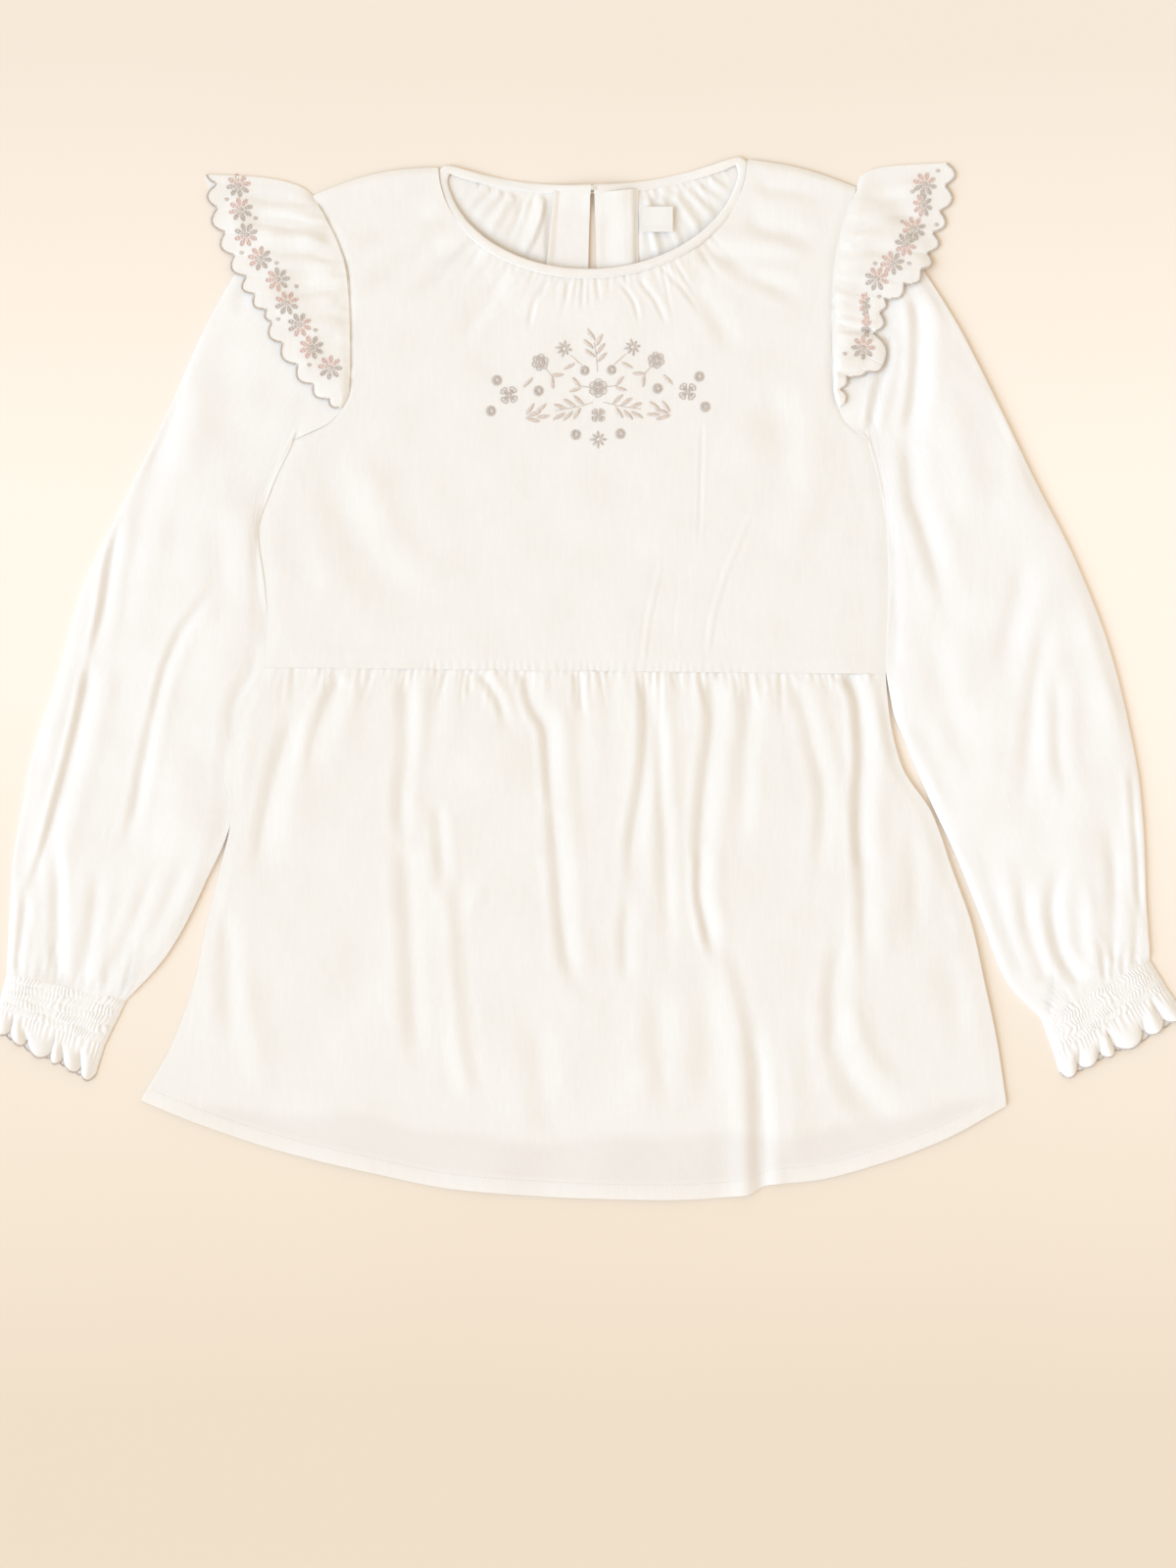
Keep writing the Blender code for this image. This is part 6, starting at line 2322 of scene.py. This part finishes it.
def looped(size: float, count: int, wide: float, veins: int) -> list[Stitch]:
    """Petals that are each a loop of thread, filled along their length.

    Args:
        size: The flower's width.
        count: How many petals it has.
        wide: A petal's width, as a share of the flower's.
        veins: How many stitches run down inside each petal.

    Returns:
        The stitches.
    """
    root, tip = np.array([0.13 * size, 0.0]), np.array([0.5 * size, 0.0])
    one = []
    for number in range(veins):
        aside = wide * size * ((number + 1) / (veins + 1) - 0.5)
        one.append((root + (0.0, 0.3 * aside), np.array([0.44 * size - abs(aside), aside])))
    for side in (-0.5, 0.5):
        low = np.array([0.27 * size, 0.8 * side * wide * size])
        high = np.array([0.41 * size, side * wide * size])
        one += [(root, low), (low, high), (high, tip)]
    return [stitch for n in range(count) for stitch in turned(one, 360.0 * n / count)]


FIGURES: dict[Motif, Callable[[float], list[Stitch]]] = {
    Motif.LEAF: filled_leaf,
    Motif.DOT: wheel,
    Motif.STAR: star,
    Motif.CLOVER: lambda size: [*looped(size, 4, 0.42, 3), *wheel(0.3 * size)],
    Motif.ROSETTE: lambda size: [*looped(size, 6, 0.36, 2), *wheel(0.42 * size)],
}


@dataclass
class Embroidery:
    """Leaves, dots and small flowers stitched on the chest, mirrored about its middle."""

    cloth: Object
    pale: Material
    deep: Material
    middle: tuple[float, float] = (4.6, 194.6)
    tilt: float = 0.019
    lift: float = 0.28
    stem_stitch: float = 2.3

    def placed(self, points: Array, paired: bool) -> list[Array]:
        """Put a figure's plan points on the chest.

        Args:
            points: The points, from the middle of the embroidery.
            paired: Whether it is wanted on both sides of the middle.

        Returns:
            The figure's points, and those of its twin across the middle.
        """
        laid = [points * (mirror, 1.0) for mirror in ((1.0, -1.0) if paired else (1.0,))]
        for places in laid:
            places[..., 1] += self.tilt * places[..., 0]
        return [places + self.middle for places in laid]

    def build(self) -> list[Object]:
        """Stitch every figure and stem.

        Returns:
            The leaves and stems, and the flowers and dots.
        """
        leaves = Threads("chest_leaf_thread", self.pale, 0.33)
        flowers = Threads("chest_flower_thread", self.deep, 0.35)
        top = Surface(self.cloth)
        for row in MOTIFS:
            threads = leaves if row.kind is Motif.LEAF else flowers
            figure = np.array(turned(FIGURES[row.kind](row.size), row.turn)) + (row.x, row.y)
            for pairs in self.placed(figure, row.paired):
                laid = top.on(pairs, 0.1)
                threads.add(laid[:, 0], laid[:, 1], self.lift)
        for stem in STEMS:
            line = np.array(stem[:4]).reshape(2, 2)
            for path in self.placed(line, stem.paired):
                add_running(leaves, top, path, self.stem_stitch, -0.9)
        return [leaves.build("edged_cotton"), flowers.build("edged_cotton")]


def add_running(threads: Threads, top: Surface, line: Array, length: float, gap: float) -> None:
    """Stitch along a line on a surface.

    Args:
        threads: Where the stitches go.
        top: The surface.
        line: Plan points along the line.
        length: Length of a stitch, in mm.
        gap: From the end of one to the start of the next, in mm.
    """
    run = run_of(line)
    starts = np.arange(0.0, run[-1] - 0.3 * length, length + gap)
    places = (starts, np.minimum(starts + length, run[-1]))
    threads.add(*(top.on(on_line(line, run, at), 0.05) for at in places), 0.12)


@dataclass
class SeamStitching:
    """Rows of fine machine stitches along the hem and round the binding."""

    thread: Material
    skirt: Object
    binding: Object
    length: float = 2.2
    gap: float = 0.7

    def build(self) -> list[Object]:
        """Stitch every row.

        Returns:
            The one piece that holds them.
        """
        rows = Threads("seam_stitches", self.thread, 0.13, 4, 3)
        x = np.linspace(-296.0, 273.0, 200)
        hem = np.stack([x, read(HEM, "x", "front_y", x) + HEM_BAND], axis=-1)
        add_running(rows, Surface(self.skirt), hem, self.length, self.gap)
        neck = front_neck(np.linspace(0.06, math.pi - 0.06, 200), BINDING_WIDTH - 1.1)
        add_running(rows, Surface(self.binding), neck, self.length, self.gap)
        return [rows.build("thread")]


# --- Floor, lights and camera ---


@dataclass
class Studio:
    """A pale floor with painted shade towards its far and near ends, under soft light from the left,
    seen from straight above.
    """

    paper: Material
    floor_half: float = 3.5  # in metres
    middle_x: float = -2.0
    middle_y: float = -71.3
    view_height: float = 1056.0
    lens: float = 60.0
    sensor: float = 36.0
    sky: float = 0.93
    sky_colour: Colour = (1.0, 0.878, 0.717)
    key_colour: Colour = (0.5, 0.72, 1.0)
    key_power: float = 2.75
    key_spread: float = 50.0  # in degrees, as are the next two
    key_tilt: float = 55.0  # from straight above
    key_turn: float = 203.0  # anticlockwise from +X, of where it comes from

    def build_floor(self) -> None:
        """Lay the floor."""
        grid = bmesh.new()
        bmesh.ops.create_grid(grid, x_segments=12, y_segments=12, size=self.floor_half)
        mesh = bpy.data.meshes.new("floor")
        grid.to_mesh(mesh)
        grid.free()
        mesh.materials.append(self.paper)
        floor = bpy.data.objects.new("floor", mesh)
        bpy.context.scene.collection.objects.link(floor)

    def add_key(self) -> None:
        """Add the one light, which is wide and soft."""
        light = bpy.data.lights.new("key", "SUN")
        light.angle, light.energy = math.radians(self.key_spread), self.key_power
        light.color = self.key_colour
        lamp = bpy.data.objects.new("key", light)
        lamp.rotation_euler = (0.0, math.radians(self.key_tilt), math.radians(self.key_turn))
        bpy.context.scene.collection.objects.link(lamp)

    def build(self) -> None:
        """Set the floor, the lights, the camera and how light turns into colour."""
        self.build_floor()
        self.add_key()
        scene = bpy.context.scene
        world = bpy.data.worlds.new("studio")
        world.use_nodes = True
        sky = world.node_tree.nodes["Background"]
        sky.inputs["Color"].default_value = (*self.sky_colour, 1.0)
        sky.inputs["Strength"].default_value = self.sky
        scene.world = world
        camera = bpy.data.cameras.new("camera")
        camera.lens, camera.sensor_width = self.lens, self.sensor
        eye = bpy.data.objects.new("camera", camera)
        distance = self.view_height * self.lens / self.sensor
        eye.location = (self.middle_x * MM, self.middle_y * MM, distance * MM)
        scene.collection.objects.link(eye)
        scene.camera = eye
        scene.view_settings.view_transform = "Standard"


def main() -> None:
    """Build the blouse piece by piece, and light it."""
    logging.basicConfig(level=logging.INFO, format="%(message)s")
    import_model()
    cotton = Cotton("ivory cotton").make()
    # painted light: the sleeves get a whiter copy of the same cotton, standing in for the brighter
    # light that falls on them
    sleeve_cotton_painted_lighter = Cotton("sleeve cotton", (0.965, 0.943, 0.914), (0.98, 0.962, 0.94)).make()
    taupe = Floss("taupe thread", (0.62, 0.51, 0.43), (0.76, 0.66, 0.58)).make()
    grey = Floss("grey thread", (0.52, 0.44, 0.38), (0.68, 0.60, 0.54)).make()
    pink = Floss("pink thread", (0.70, 0.49, 0.42), (0.80, 0.62, 0.55)).make()
    edging = Floss("edging thread", (0.56, 0.46, 0.38), (0.70, 0.61, 0.53)).make()
    ivory = Floss("ivory thread", (0.84, 0.81, 0.75), (0.90, 0.88, 0.84)).make()
    bodice = Bodice(cotton).build()
    skirt = Skirt(cotton).build()
    made = [*bodice, *skirt]
    for side in Side:
        sleeve = Sleeve(side, sleeve_cotton_painted_lighter, edging).build()
        made += [*sleeve, *Ruffle(side, cotton, edging, pink, grey, (sleeve[0],)).build()]
    tape, shell = Tape("label tape").make(), Shell("pearl button").make()
    neckline = Neckline(cotton, tape, shell, ivory).build()
    made += neckline
    made += Embroidery(bodice[0], taupe, grey).build()
    made += SeamStitching(ivory, skirt[0], neckline[0]).build()
    for piece in made:
        LOG.info("%s: %d faces before its wall", piece.name, len(piece.data.polygons))
    Studio(Paper("pale paper").make()).build()


if __name__ == "__main__":
    main()
